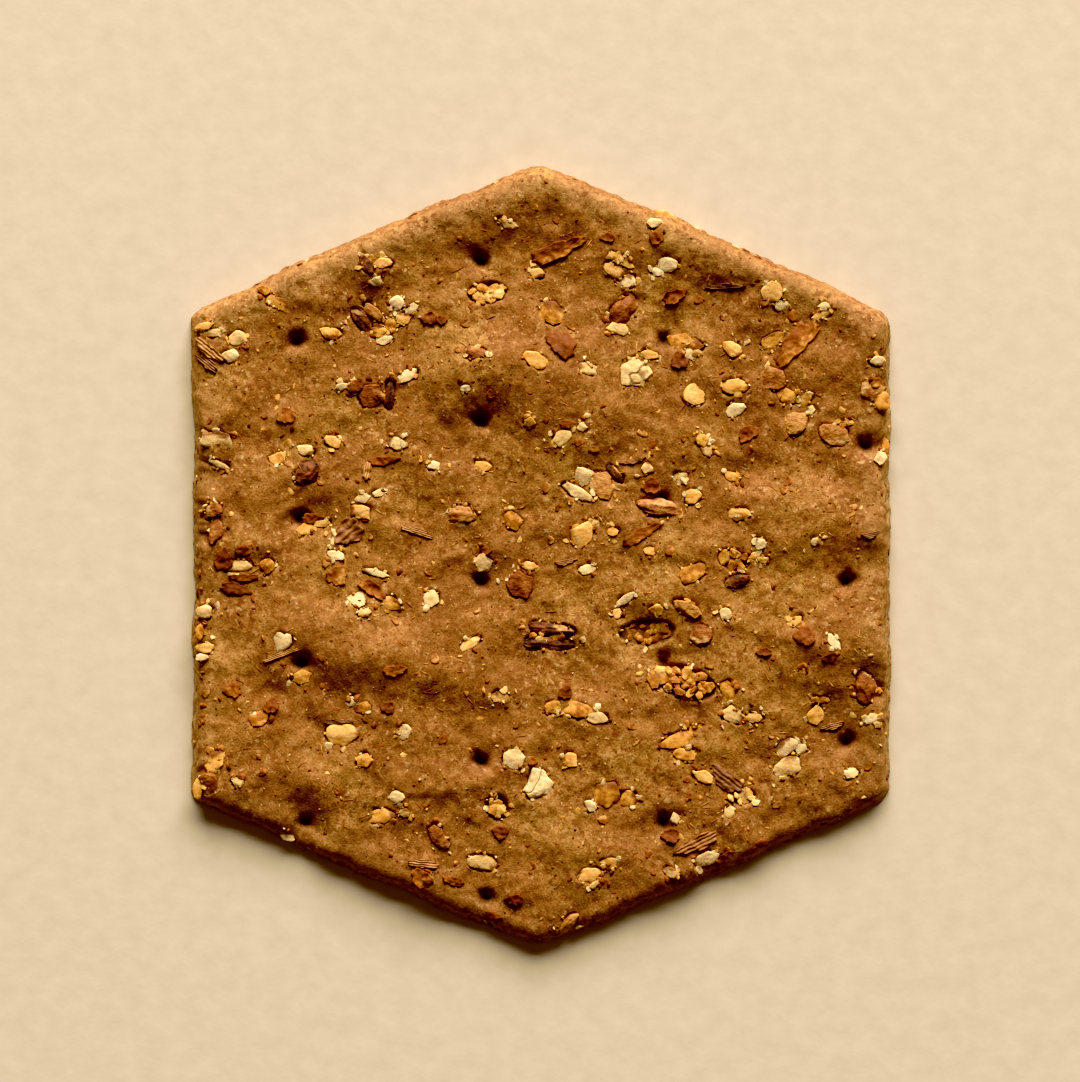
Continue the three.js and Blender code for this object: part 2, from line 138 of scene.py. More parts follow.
# Kernels: x, y, length, width, turn in degrees, tone from dark brown at 0 to tan at 1, depth of crease
KERNELS = [
    (1.3, -8.4, 5.4, 1.5, -5, 0.12, 0.0), (0.9, -10.1, 5.8, 1.5, -1, 0.08, 0.0),
    (14.1, 5.4, 6.0, 2.0, -8, 0.75, 0.3), (9.7, 28.2, 4.6, 2.6, 50, 0.42, 0.0),
    (-26.4, 9.5, 3.3, 2.6, 35, 0.2, 0.0), (-17.1, 18.2, 3.2, 1.2, 85, 0.12, 0.4),
    (-20.4, 26.9, 3.2, 1.5, -50, 0.2, 0.6), (37.1, -14.9, 4.0, 2.6, 105, 0.5, 0.0),
    (-8.9, 4.6, 3.7, 1.9, 5, 0.9, 0.0), (-7.6, 23.1, 3.0, 1.6, -5, 0.6, 0.0),
    (3.2, -41.8, 3.0, 1.6, 40, 0.92, 0.0), (8.5, 9.3, 2.6, 1.2, -50, 0.05, 0.0),
]

# Broken kernels, skin side up: the same but for the crease
SKINNED_GRAINS = [
    (33.4, 13.8, 3.8, 2.4, -20, 0.85), (26.5, 20.1, 3.6, 2.6, -10, 0.7), (22.4, -3.0, 3.0, 1.4, 20, 0.2),
    (29.1, 15.2, 3.2, 3.0, -15, 1.0), (7.0, 8.0, 3.4, 2.8, -60, 0.9), (18.4, -9.0, 2.6, 2.2, 25, 0.55),
    (16.9, -6.1, 3.4, 1.6, -25, 1.0), (-2.2, -3.3, 3.4, 3.0, 110, 0.45), (37.9, 18.7, 3.0, 2.8, 35, 0.9),
    (-19.1, 18.2, 3.0, 2.6, 55, 0.45), (-36.9, 2.9, 3.4, 1.6, 80, 0.6), (-37.7, -26.0, 2.6, 2.0, 90, 0.6),
    (-37.1, 5.2, 1.8, 1.5, 30, 0.6), (-11.6, -32.1, 3.2, 1.5, -50, 0.6), (-21.0, 19.3, 1.7, 1.4, 20, 0.4),
    (-18.9, 27.7, 2.6, 1.2, -40, 0.9), (-19.9, 33.3, 3.2, 1.5, -45, 0.2),
]

# Broken grains: x, y, length, width, turn
AMBER_CHIPS = [
    (16.9, -20.4, 6.0, 2.1, 22), (13.7, -13.6, 1.9, 1.8, -60), (1.4, -17.2, 1.9, 1.6, 30),
    (4.1, -17.5, 3.8, 1.7, -8), (16.6, 24.3, 3.7, 1.7, -10),
    (-22.6, -20.5, 3.4, 2.6, -10), (-18.1, -29.7, 3.4, 1.7, 10), (7.4, -27.2, 3.4, 2.7, 5),
    (22.2, 19.2, 3.0, 1.7, 0), (17.4, -2.0, 3.0, 1.9, 30), (14.3, 38.5, 3.0, 1.4, -23),
    (21.4, -15.5, 2.9, 1.6, -65), (5.6, -36.4, 2.9, 1.6, 5), (-0.4, 22.2, 2.9, 1.7, -20),
    (4.7, 2.4, 2.8, 2.4, 25), (1.3, 27.7, 2.8, 2.4, -35), (26.5, 24.5, 2.6, 1.6, 25),
    (17.5, 18.3, 2.6, 2.2, -40), (-29.8, 28.7, 2.6, 1.4, -28), (22.6, 4.7, 2.6, 1.5, -10),
    (-37.0, -23.4, 2.6, 1.8, 40), (16.5, -22.7, 2.4, 1.5, -3), (8.4, 32.5, 2.4, 1.8, -25),
    (26.4, 30.0, 2.4, 2.2, 0), (-20.5, 5.0, 2.4, 1.5, -20), (-26.7, 2.9, 2.4, 1.5, 20),
    (-17.0, -5.4, 2.4, 1.5, -30), (-27.3, -13.9, 2.4, 1.5, 15), (-32.1, -18.5, 2.4, 1.8, 20),
    (-8.0, -10.1, 2.4, 1.2, 28), (-23.9, 25.3, 2.4, 1.2, -8), (-3.1, 3.9, 2.2, 1.8, -20),
    (28.2, 18.2, 2.2, 1.8, 0), (18.7, -25.2, 2.2, 1.4, -25), (21.9, 23.6, 2.2, 1.6, -25),
    (32.1, 27.4, 2.2, 0.9, 10), (31.4, -18.2, 2.1, 1.9, 90), (-4.6, -16.1, 2.1, 1.1, 3),
    (31.9, -16.4, 2.0, 0.7, 0), (7.8, -35.1, 2.0, 1.3, 20), (-17.8, 33.3, 2.0, 1.1, 5),
    (12.4, 22.9, 2.0, 1.0, -15), (-1.3, -1.2, 2.0, 0.9, -5), (-38.1, -10.5, 2.0, 1.1, 0),
    (29.9, 17.7, 1.9, 1.7, 0), (-6.4, 10.2, 1.9, 1.0, -15), (21.8, 9.0, 1.9, 1.1, -20),
    (17.5, 6.8, 1.9, 1.6, 20), (24.3, -18.5, 1.8, 1.0, 0), (-31.1, -1.2, 1.8, 1.5, 20),
    (-29.9, 11.1, 1.8, 1.3, 20), (-23.6, 13.0, 1.8, 1.2, -35), (-24.9, 3.7, 1.8, 0.8, 0),
    (10.1, -27.7, 1.8, 1.8, 0), (-19.9, -23.3, 1.8, 1.6, 55), (28.9, -7.5, 1.7, 1.0, 25),
    (-18.4, 25.5, 1.7, 1.2, 0), (-20.2, -17.3, 1.7, 1.3, 0), (-17.1, 26.3, 1.6, 1.4, 0),
    (-15.6, 26.9, 1.6, 1.2, 0), (3.5, -23.3, 1.6, 1.6, -30), (35.0, 15.1, 1.6, 0.6, 0),
    (13.2, -6.2, 1.5, 1.2, 0), (12.6, 0.5, 1.6, 0.9, 0), (-31.4, 30.2, 1.5, 0.9, -25),
    (-0.4, 32.2, 1.6, 1.1, 0), (-1.2, 15.1, 1.3, 1.1, 0), (24.6, 0.0, 1.4, 0.9, 0),
    (25.4, -0.5, 1.3, 0.7, 0), (8.3, 2.7, 1.2, 0.9, 0), (6.3, 3.7, 1.2, 1.0, 0),
    (8.8, -6.6, 1.1, 1.1, 0), (39.4, 12.5, 1.6, 0.8, 90), (18.5, 13.1, 1.3, 1.4, 0),
    (-38.2, 26.1, 2.0, 0.8, 10), (-38.7, -8.7, 1.6, 1.0, 90), (-39.0, -26.6, 2.2, 1.0, 90),
    (13.0, -14.1, 1.6, 1.9, 0), (39.0, 17.5, 2.0, 1.5, 90), (9.2, 33.6, 3.0, 0.9, -28),
]
CREAM_CHIPS = [
    (10.8, 20.8, 3.6, 3.0, 35), (-36.7, 13.0, 3.4, 2.2, -10), (-0.2, -26.1, 3.4, 3.2, -50),
    (-21.3, -4.4, 3.4, 2.0, -50), (4.3, 7.2, 3.4, 1.1, -30),
    (-6.5, -35.0, 3.2, 1.8, -8), (19.0, -34.6, 3.2, 1.4, 22), (28.2, -24.1, 3.0, 2.0, 25),
    (-18.8, -2.0, 3.0, 0.7, -15), (28.2, -21.7, 2.8, 1.6, 28), (-34.0, -1.2, 2.8, 1.2, 0),
    (22.0, -18.1, 2.6, 1.6, -25), (5.6, 21.2, 2.6, 1.6, -15), (8.9, 25.8, 2.6, 1.3, -10),
    (9.7, -5.0, 2.4, 0.8, 38), (-15.1, 20.5, 2.4, 1.2, 30), (22.3, 16.6, 2.4, 1.4, 15),
    (-6.5, -0.9, 2.2, 1.9, -20), (-29.3, -9.7, 2.2, 2.0, 50), (-2.9, -23.2, 2.2, 2.0, 0),
    (-36.5, 10.3, 2.2, 0.8, -20), (6.5, -18.5, 2.2, 1.2, -8), (33.4, -9.9, 2.1, 1.0, -50),
    (4.9, 9.0, 2.0, 1.9, 0), (38.0, -18.6, 2.0, 1.2, 10), (5.3, -1.6, 2.0, 1.0, 8),
    (-12.4, -4.8, 2.0, 1.8, 75), (14.5, 33.1, 2.0, 1.7, -20), (-16.5, 12.8, 2.0, 1.3, -25),
    (-26.7, 12.0, 2.0, 1.2, -15), (-37.2, 25.3, 2.0, 0.9, 10), (2.5, 13.4, 2.0, 1.5, 45),
    (-34.3, 24.7, 1.9, 1.7, 0), (-15.6, -20.0, 1.8, 1.7, 0), (-20.2, 6.5, 1.8, 1.1, 15),
    (19.2, 12.1, 1.8, 1.3, 0), (-35.2, 22.7, 1.8, 1.4, 20), (-23.1, 1.8, 1.8, 1.5, -35),
    (-23.2, 0.0, 1.8, 1.1, -15), (-17.7, 24.6, 1.8, 1.1, 15), (15.0, -36.1, 1.8, 1.0, -20),
    (-16.4, 28.7, 1.8, 1.6, 0), (-16.3, -27.5, 1.7, 1.3, 0), (-14.7, 28.1, 1.7, 0.9, 30),
    (12.9, 37.8, 1.7, 1.0, 0), (-28.8, -32.0, 1.7, 1.0, -20), (-18.2, 7.2, 1.6, 0.8, 20),
    (16.1, 8.8, 1.6, 1.3, 0), (27.5, 28.4, 1.6, 1.1, 0), (38.4, 22.2, 1.6, 1.0, 0),
    (21.5, -29.2, 1.6, 1.2, 90), (5.8, -28.5, 1.6, 1.1, -20), (17.0, 22.9, 1.5, 1.2, 0),
    (10.1, 31.2, 1.5, 1.5, 35), (32.4, 28.3, 1.5, 0.9, 0), (35.4, -24.8, 1.5, 1.1, 20),
    (-20.0, -6.5, 1.5, 0.9, 0), (13.4, 32.3, 1.4, 1.0, 0), (12.1, 9.9, 1.4, 1.2, 0),
    (-38.5, -11.6, 1.4, 0.8, 0), (38.8, 11.1, 1.4, 1.4, 0), (-21.5, -16.7, 1.4, 1.3, 0),
    (15.4, -30.0, 1.4, 1.0, 110), (-22.6, 19.2, 1.4, 0.9, 20), (-34.3, -25.7, 1.4, 0.9, 0),
    (6.2, -37.5, 1.3, 0.6, 35), (25.1, 1.3, 1.3, 1.2, 0), (-12.1, 10.3, 1.3, 0.9, 30),
    (-18.5, 31.2, 1.3, 1.1, 0), (21.1, -6.6, 1.3, 1.3, 0), (29.8, -22.0, 1.2, 1.1, 0),
    (-15.4, -29.3, 1.2, 1.0, 0), (4.8, 14.6, 1.2, 1.0, 0), (-8.5, 19.0, 1.1, 0.8, 0),
    (30.8, 16.6, 1.1, 1.0, 0), (31.3, 1.6, 1.0, 0.8, 0), (-38.3, -6.4, 1.6, 1.4, 0),
    (-3.6, 37.7, 2.2, 1.0, -20),
]

# Bran and husk: x, y, length, width, turn, and tone from dark red at 0 to pale gold at 1
BRAN_FLAKES = [
    (29.2, 24.2, 6.5, 2.4, 48, 0.7), (1.9, 34.7, 6.4, 1.9, 22, 0.65), (11.5, 2.4, 5.0, 1.3, 30, 0.6),
    (2.5, 24.0, 3.6, 2.6, -40, 0.25), (-34.7, -3.8, 3.4, 1.4, -10, 0.1), (-17.9, 10.8, 3.4, 1.0, 5, 0.45),
    (-19.1, -3.8, 3.4, 1.5, -35, 0.6), (-33.7, -2.5, 3.2, 0.8, 0, 0.45), (15.3, 29.5, 2.8, 1.5, 25, 0.4),
    (-36.0, -0.5, 2.6, 2.0, 80, 0.2), (-13.5, -36.8, 2.6, 2.0, -40, 0.7), (24.9, -33.1, 2.6, 1.0, 30, 0.5),
    (21.3, -34.4, 2.6, 1.0, 28, 0.5), (-16.5, -13.1, 2.6, 1.2, 10, 0.65), (-26.0, 4.2, 2.5, 1.2, 0, 0.3),
    (-9.8, -37.1, 2.4, 1.0, -15, 0.55), (30.1, -9.2, 2.4, 2.0, 0, 0.35), (23.7, 13.9, 2.4, 1.6, 35, 0.5),
    (-23.1, -2.3, 2.4, 2.2, 40, 0.8), (14.9, -31.9, 2.0, 1.6, 0, 0.2), (-35.0, -15.3, 2.0, 1.7, 0, 0.7),
    (-28.9, 15.9, 2.0, 1.8, 0, 0.6), (12.7, 7.9, 2.0, 1.8, 0, 0.5), (15.9, 22.2, 1.9, 1.9, 0, 0.2),
    (-30.6, -17.1, 1.9, 1.5, 60, 0.45), (-12.6, 27.0, 1.8, 1.4, 0, 0.3), (2.9, -15.5, 1.8, 1.4, 70, 0.15),
    (-4.5, -31.5, 1.8, 1.6, 0, 0.15), (25.5, -11.0, 1.7, 0.9, 0, 0.15), (3.1, 14.9, 1.7, 0.9, 0, 0.4),
    (32.9, -11.6, 1.6, 1.0, 25, 0.15), (-17.3, -17.3, 1.6, 1.3, 0, 0.15), (-33.8, 0.6, 1.6, 1.4, 0, 0.45),
    (7.7, 36.2, 1.6, 1.0, 0, 0.4), (13.2, 36.1, 1.6, 1.6, 0, 0.4), (-11.2, 26.8, 1.2, 1.0, 0, 0.3),
    (-5.4, -41.0, 2.0, 0.8, -15, 0.5), (-2.9, -39.2, 2.0, 1.2, 0, 0.15),
]
HUSKS = [
    (-37.6, 23.4, 4.2, 1.4, -38, 0.9), (-37.9, 21.9, 3.0, 1.0, -38, 0.5), (18.0, -32.8, 5.0, 1.6, 25, 0.6),
    (21.3, -25.6, 4.0, 2.0, -40, 0.4), (-21.8, 2.7, 3.4, 2.8, 40, 0.5), (-19.7, 9.7, 2.2, 1.0, 80, 0.95),
    (-29.6, -11.3, 4.2, 0.7, 20, 0.8), (-13.2, -35.1, 3.4, 1.0, -5, 0.75), (21.0, 30.6, 4.2, 0.6, 3, 0.4),
    (10.6, 10.8, 2.8, 0.6, 12, 0.6), (-14.0, 2.7, 3.6, 0.8, -18, 0.75), (2.9, -0.7, 2.4, 0.7, 12, 0.6),
    (37.6, 2.4, 2.1, 0.8, 10, 0.5), (33.3, -19.4, 2.6, 0.8, 15, 0.6), (-23.0, -18.9, 3.2, 0.6, 3, 0.6),
]

# Grains that crumbled in their pocket: x, y, length, width, turn, tone, and how far they stand proud
CRUMBLED = [
    (16.6, -14.5, 6.8, 3.4, -18, 0.12, 0.2), (12.2, -8.8, 6.2, 2.6, 3, 0.0, -0.22),
    (1.0, -9.2, 4.6, 1.0, -3, 0.1, 0.1), (-6.0, 29.9, 4.2, 2.2, 8, 0.55, 0.1),
    (22.0, -0.5, 3.2, 2.0, -20, 0.35, 0.2), (22.8, -27.4, 3.2, 1.6, 0, 0.8, 0.25),
    (-4.9, -28.7, 2.6, 2.2, -55, 0.6, 0.25),
]

SHARD_AREA = 0.9  # of a crumbled grain, for each of its shards, in square mm
GOLDEN_ANGLE = TURN * 0.381966  # spreads any number of shards evenly
HEAP_SPREAD = 0.44  # of a crumbled grain's size, how far out its shards lie

# Kernels and broken grains: shares are of all of them, or of a grain's own size
SKINNED_SHARE = 0.6  # with skin on one side
WORN_SHARE = 0.4  # with rounded edges
GRAIN_ROUGHNESS = [(0.8, 0.16), (0.25, 0.07)]  # size and height of the bumps
KERNEL_ROUGHNESS = [(0.6, 0.22), (0.22, 0.08)]
TORN_EDGE = 0.35  # how ragged the skin's edge is
CHIP_SPREAD = 0.6  # half size of a chip or kernel, with a little for what the dough covers
KERNEL_SPREAD = 0.56
THICKNESS_SHARE = 0.7  # of a grain's width
THINNEST_CHIP = 0.4
THINNEST_KERNEL = 0.9
THICKEST_GRAIN = 1.8
BREAK_CREASE = 34  # degrees; where a broken grain bends more, its edge is crisp
PLAIN_CUTS = 3  # that split each face of a plain chip, of a cracked one, and of a shard
CRACKED_CUTS = 14
SHARD_CUTS = 2
CRACKED_WIDTH = 2.9  # a cream chip this wide is cracked
CRACK_DEPTH = 0.16
CRACK_SPACING = 2.2
CRACK_SLOPE = 0.1
# Painted shade in the cracks of a cracked chip, and how much darker a chip's flanks get towards the bottom
CRACK_PAINTED_SHADE = 0.6
FLANK_DARKENING = 0.3
CHIP_RISES = (0.02, 0.22)  # how far a chip stands proud, at the least and at the most
WIDTH_RISE = 0.05  # more for its width, for its cracks and near the edge
CRACK_RISE = 0.8
EDGE_LIFT = 0.3
SKINNED_RISES = (0.3, 0.55)
KERNEL_RISE = 0.3  # of its thickness
LEAST_RISE = 0.1
CHIP_LEAN = 5  # the most that a grain of each kind leans, in degrees
KERNEL_LEAN = 6
SKINNED_LEAN = 8
SHARD_LEAN = 9
CRUMB_LEAN = 20

# What lies scattered between the grains, with the least and the greatest length of each kind
GRAIN_SEED = 11
CUT_CHIP_SEED = 12
CRUMB_SEED = 5
SLIVER_SEED = 6
NOISE_DEPTH = 99  # how far through the noise a layer may lie
CRUMB_COUNT = 2800
CRUMB_SHAPES = 40
CRUMB_MARGIN = 1.0  # from the edge
BRAN_BIT_COUNT = 170
BRAN_BIT_LENGTHS = (0.6, 1.5)
SHARD_LENGTHS = (0.8, 2.1)
SHARD_HALF_THICKNESS = 0.4
SLIVER_COUNT = 320
SLIVER_HALF_LENGTHS = (0.3, 0.75)
SLIVER_HALF_WIDTH = 0.07
SLIVER_HALF_THICKNESS = 0.1
SLIVER_RISE = 0.05
WALL_CHIP_COUNT = 60
WALL_CHIP_LENGTHS = (0.4, 1.6)
WALL_CHIP_HALF_THICKNESS = 0.22
WALL_CHIP_INSET = 0.2
UNDER_CHIP_COUNT = 120
UNDER_CHIP_LENGTHS = (0.6, 3.2)
UNDER_CHIP_HALF_THICKNESS = 0.1
GRAIN_VALUES = ("tone", "skin", "pit")  # that each point of a grain carries

# The solid's box, in mm
CAD_LOW, CAD_HIGH = (np.array(corner) / MM for corner in CAD_BOX)


def bell(distance, reach):
    return np.exp(-0.5 * (distance / reach) ** 2)


def soft_step(low, high, value):
    share = np.clip((value - low) / (high - low), 0, 1)
    return share * share * (3 - 2 * share)


def soft_cap(value, most):
    """The value, bent over so that it nears a limit and never passes it."""
    return most - CAP_BEND * np.log1p(np.exp((most - value) / CAP_BEND))


def rough_field(x, y, size, octaves, layer):
    """Fractal unevenness between about -1 and 1, with bumps of the given size in mm."""
    places = zip(np.ravel(x) / size, np.ravel(y) / size)
    values = [noise.fractal((u, v, layer), 1.0, 2.0, octaves) for u, v in places]
    return np.array(values).reshape(np.shape(x))


# The hexagon's corners, counter-clockwise from the right upper one, and its sides
CORNERS = np.array([
    (WIDTH / 2, LONG_SIDE / 2), (0, LENGTH / 2), (-WIDTH / 2, LONG_SIDE / 2),
    (-WIDTH / 2, -LONG_SIDE / 2), (0, -LENGTH / 2), (WIDTH / 2, -LONG_SIDE / 2),
])
SECTORS = len(CORNERS)
SIDE_RUN = np.roll(CORNERS, -1, axis=0) - CORNERS
HALF_SIDE = np.linalg.norm(SIDE_RUN, axis=1) / 2
ALONG = SIDE_RUN / (2 * HALF_SIDE)[:, None]
FACING = np.stack([ALONG[:, 1], -ALONG[:, 0]], axis=1)
SIDE_DISTANCE = np.sum(FACING * CORNERS, axis=1)
SIDE_MIDDLE = np.sum((CORNERS + SIDE_RUN / 2) * ALONG, axis=1)


def edge_distance(x, y):
    """Distance from a point to the nearest side of the hexagon."""
    x, y = np.asarray(x, float), np.asarray(y, float)
    return np.min(SIDE_DISTANCE - x[..., None] * FACING[:, 0] - y[..., None] * FACING[:, 1], axis=-1)


def outline_radius(angle, inset):
    """Radius of the outline, drawn in by an inset, in the direction of an angle."""
    ray = np.stack([np.cos(angle), np.sin(angle)], axis=-1)
    lean = np.maximum(ray @ FACING.T, 1e-6)
    place = ((ray @ ALONG.T) * SIDE_DISTANCE / lean - SIDE_MIDDLE) / HALF_SIDE
    reach = SIDE_DISTANCE - inset + SIDE_BOWS * np.maximum(0, 1 - place**2)
    radius = np.sum((lean / reach) ** CORNER_SHARPNESS, axis=-1) ** (-1 / CORNER_SHARPNESS)
    for count, phase, height in EDGE_WAVES:
        radius = radius + height * np.sin(count * angle + phase)
    return radius


def hole_places():
    places = []
    for column in HOLE_COLUMNS:
        for row in HOLE_ROWS:
            x = FIRST_HOLE[0] + column * HOLE_PITCH_X
            y = FIRST_HOLE[1] - (row + column % 2 / 2) * HOLE_PITCH_Y
            slip_x, slip_y = SLIPPED_HOLES.get((column, row), (0, 0))
            if edge_distance(x, y) > HOLE_EDGE_MARGIN:
                places.append((x + slip_x, y + slip_y))
    return places


HOLES = hole_places()


def blend_sides(x, y, values):
    """The value of the nearest side at a point, blended into the next one's at the corners."""
    x, y = np.asarray(x, float), np.asarray(y, float)
    weight = np.exp((x[..., None] * FACING[:, 0] + y[..., None] * FACING[:, 1] - SIDE_DISTANCE) / EDGE_BLEND)
    return weight @ values / weight.sum(axis=-1)


def edge_rise(x, y):
    """How far the raised or sunken edge lifts the upper face at a point."""
    end = blend_sides(x, y, EDGE_ENDS)
    return blend_sides(x, y, EDGE_RISES) * (1 - soft_step(EDGE_CREST, end, edge_distance(x, y)))


def top_height(x, y):
    """Height of the upper face, before the holes are pricked."""
    height = THICKNESS + edge_rise(x, y)
    for swell_x, swell_y, reach_x, reach_y, rise in SWELLS:
        height = height + rise * bell(x - swell_x, reach_x) * bell(y - swell_y, reach_y)
    for hole_x, hole_y in HOLES:
        height = height - DIMPLE_DEPTH * bell(np.hypot(x - hole_x, y - hole_y), DIMPLE_REACH)
    return height


def shoulder_drop(top):
    """How far the rounded upper edge comes down from the height of the face."""
    return SHOULDER_SHARE * (top - FOOT_HEIGHT)


def skin_height(x, y):
    """Height of the skin, down over the rounded shoulder and the leaning wall at the edge."""
    top = top_height(x, y)
    drop = shoulder_drop(top)
    inset = np.maximum(0, edge_distance(x, y))
    run = np.clip((TOP_INSET - inset) / SHOULDER, 0, 1)
    shoulder = top - drop * (1 - np.sqrt(1 - run**2))
    wall = FOOT_HEIGHT + inset / FLARE * (top - drop - FOOT_HEIGHT)
    return np.where(inset < FLARE, wall, shoulder)


def lumps(x, y):
    """Broad lumps of the risen dough, small ones, and the meal under its skin."""
    return sum(height * rough_field(x, y, size, 2, layer) for size, height, layer in LUMPS)


def hole_depth(x, y):
    """Depth of the docking holes below the skin, and how far inside one a point is, from 0 to 1."""
    depth = np.zeros_like(x)
    inside = np.zeros_like(x)
    for hole_x, hole_y in HOLES:
        away = np.hypot(x - hole_x, y - hole_y)
        near = away < 2 * HOLE_MOUTH_RADIUS
        angle = np.arctan2(y[near] - hole_y, x[near] - hole_x)
        oval, nicked = HOLE_RAGS[0] * np.sin(2 * angle + hole_x), HOLE_RAGS[1] * np.sin(5 * angle + hole_y)
        ragged = away[near] * (1 + oval + nicked)
        deepest = top_height(np.array(hole_x), np.array(hole_y)) - HOLE_FLOOR
        pricked = bell(ragged, HOLE_TAPER * HOLE_MOUTH_RADIUS)
        depth[near] = np.maximum(depth[near], deepest * pricked)
        inside[near] = np.maximum(inside[near], pricked)
    return depth, inside


# How the dough meets a grain: it sinks under it, and along part of the outline it shrank away in the oven
POCKET_SINK = 0.45
POCKET_MARGIN = 0.8  # past a grain, as far as its pocket may reach
FULL_POCKET = 0.9  # a grain that reaches this far has a pocket of the full depth
GAP_WIDTH = 0.3
GAP_SLOPE = 0.2
SHRUNK_LOTS = (0.4, 1.0)  # lots round the outline from which the dough shrank away, and did so fully
HIDDEN_SHOW = 0.15  # below the skin, as far as a grain still counts as showing
OUTLINE_STEPS = 24
OUTLINE_ANGLES = TURN * ((np.arange(OUTLINE_STEPS) + 0.5) / OUTLINE_STEPS - 0.5)


def outline_of(points, x, y, rise):
    """How far the part of a grain that shows reaches from its middle, for each of a round of angles."""
    shown = points[:, 2] > points[:, 2].max() - rise - HIDDEN_SHOW
    away = points[shown, :2] - (x, y)
    share = np.arctan2(away[:, 1], away[:, 0]) / TURN + 0.5
    reach = np.zeros(OUTLINE_STEPS)
    np.maximum.at(reach, (share * OUTLINE_STEPS).astype(int) % OUTLINE_STEPS, np.hypot(*away.T))
    beside = (np.roll(reach, 1) + np.roll(reach, -1)) / 2
    return np.where(reach > 0, reach, beside)


def carve_pockets(x, y, outlines):
    """How far the pockets of the grains lower the dough, and how deep in a gap each point is."""
    drop = np.zeros_like(x)
    gap = np.zeros_like(x)
    for grain_x, grain_y, reach, shrunk_all in outlines:
        away_x, away_y = x - grain_x, y - grain_y
        near = away_x**2 + away_y**2 < (reach.max() + POCKET_MARGIN) ** 2
        away = np.hypot(away_x[near], away_y[near])
        angle = np.arctan2(away_y[near], away_x[near])
        outside = away - np.interp(angle, OUTLINE_ANGLES, reach, period=TURN)
        lot = np.sin(angle + 7 * grain_x) + 0.6 * np.sin(3 * angle + 5 * grain_y)
        shrunk = np.maximum(soft_step(*SHRUNK_LOTS, lot), shrunk_all)
        hidden = 1 - soft_step(-GAP_SLOPE, 0, outside - GAP_WIDTH * shrunk)
        size = min(1, reach.max() / FULL_POCKET)
        drop[near] = np.maximum(drop[near], size * POCKET_SINK * hidden)
        gap[near] = np.maximum(gap[near], size * shrunk * hidden)
    return drop, gap


def ring_angles(rings):
    """Angles of the points on a ring whose sides each have that many steps."""
    step = np.arange(SECTORS * rings)
    sector, share = step // rings, (step % rings) / rings
    place = CORNERS[sector] + SIDE_RUN[sector] * share[:, None]
    return np.arctan2(place[:, 1], place[:, 0])


def ring_start(ring):
    return 1 + SECTORS * ring * (ring - 1) // 2 if ring else 0


def ring_triangles(rings, first):
    """Triangles of nested rings round a middle point, facing up."""
    found = []
    for ring in range(1, rings + 1):
        for sector in range(SECTORS):
            step = np.arange(ring)
            outer = ring_start(ring) + (sector * ring + step) % (SECTORS * ring)
            outer_next = ring_start(ring) + (sector * ring + step + 1) % (SECTORS * ring)
            inner_count = max(1, SECTORS * (ring - 1))
            inner = ring_start(ring - 1) + (sector * (ring - 1) + step) % inner_count
            inner_next = ring_start(ring - 1) + (sector * (ring - 1) + step + 1) % inner_count
            found.append(np.stack([inner, outer, outer_next], axis=1))
            found.append(np.stack([inner, outer_next, inner_next], axis=1)[:-1])
    return np.concatenate(found) + first


def ring_points(rings, inset):
    """X and Y of a middle point and of nested rings that fill the outline."""
    x, y = [np.zeros(1)], [np.zeros(1)]
    for ring in range(1, rings + 1):
        angle = ring_angles(ring)
        radius = outline_radius(angle, inset) * ring / rings
        x.append(radius * np.cos(angle))
        y.append(radius * np.sin(angle))
    return np.concatenate(x), np.concatenate(y)


def mesh_piece(name, points, triangles, material, values, crease=180):
    """One mesh object from points in mm, with a number on each point for each named value. It is smooth
    but for edges that bend more than the crease, in degrees."""
    mesh = bpy.data.meshes.new(name)
    mesh.vertices.add(len(points))
    mesh.vertices.foreach_set("co", np.ravel(points * MM).astype(np.float32))
    mesh.loops.add(3 * len(triangles))
    mesh.loops.foreach_set("vertex_index", np.ravel(triangles).astype(np.int32))
    mesh.polygons.add(len(triangles))
    mesh.polygons.foreach_set("loop_start", np.arange(0, 3 * len(triangles), 3, dtype=np.int32))
    mesh.update(calc_edges=True)
    mesh.validate()
    mesh.shade_smooth()
    mesh.set_sharp_from_angle(angle=math.radians(crease))
    for value_name, numbers in values.items():
        layer = mesh.attributes.new(value_name, "FLOAT", "POINT")
        layer.data.foreach_set("value", np.asarray(numbers, np.float32))
    mesh.materials.append(material)
    piece = bpy.data.objects.new(name, mesh)
    bpy.context.scene.collection.objects.link(piece)
    return piece


def strip_triangles(upper, lower, count):
    """Triangles between two rows of points that each go once round, given by their first points."""
    step = np.arange(count)
    step_next = np.roll(step, -1)
    return np.concatenate([
        np.stack([upper + step, lower + step, lower + step_next], axis=1),
        np.stack([upper + step, lower + step_next, upper + step_next], axis=1),
    ])


def upper_face(outlines):
    """Points of the upper face with its holes and pockets, how much painted shade darkens each of them in
    the gaps round the grains and in the holes, and how pale each is at the rim, partly painted light.
    """
    x, y = ring_points(TOP_RINGS, TOP_INSET)
    depth, inside = hole_depth(x, y)
    carved, gap = carve_pockets(x, y, outlines)
    height = soft_cap(top_height(x, y) + lumps(x, y), CAD_HIGH[2] - CAP_BEND)
    # Painted shade in the gaps round the grains and inside the docking holes
    dark = np.maximum(GAP_PAINTED_SHADE * gap, HOLE_PAINTED_SHADE * inside)
    # The rim is paler, partly rubbed and partly painted light
    rubbed_and_lit = 1 - soft_step(*RUBBED_AND_LIT_BAND, edge_distance(x, y) - TOP_INSET)
    pale = blend_sides(x, y, RUBBED_AND_LIT_PALE) * rubbed_and_lit
    return np.stack([x, y, height - carved - depth], axis=1), dark, pale


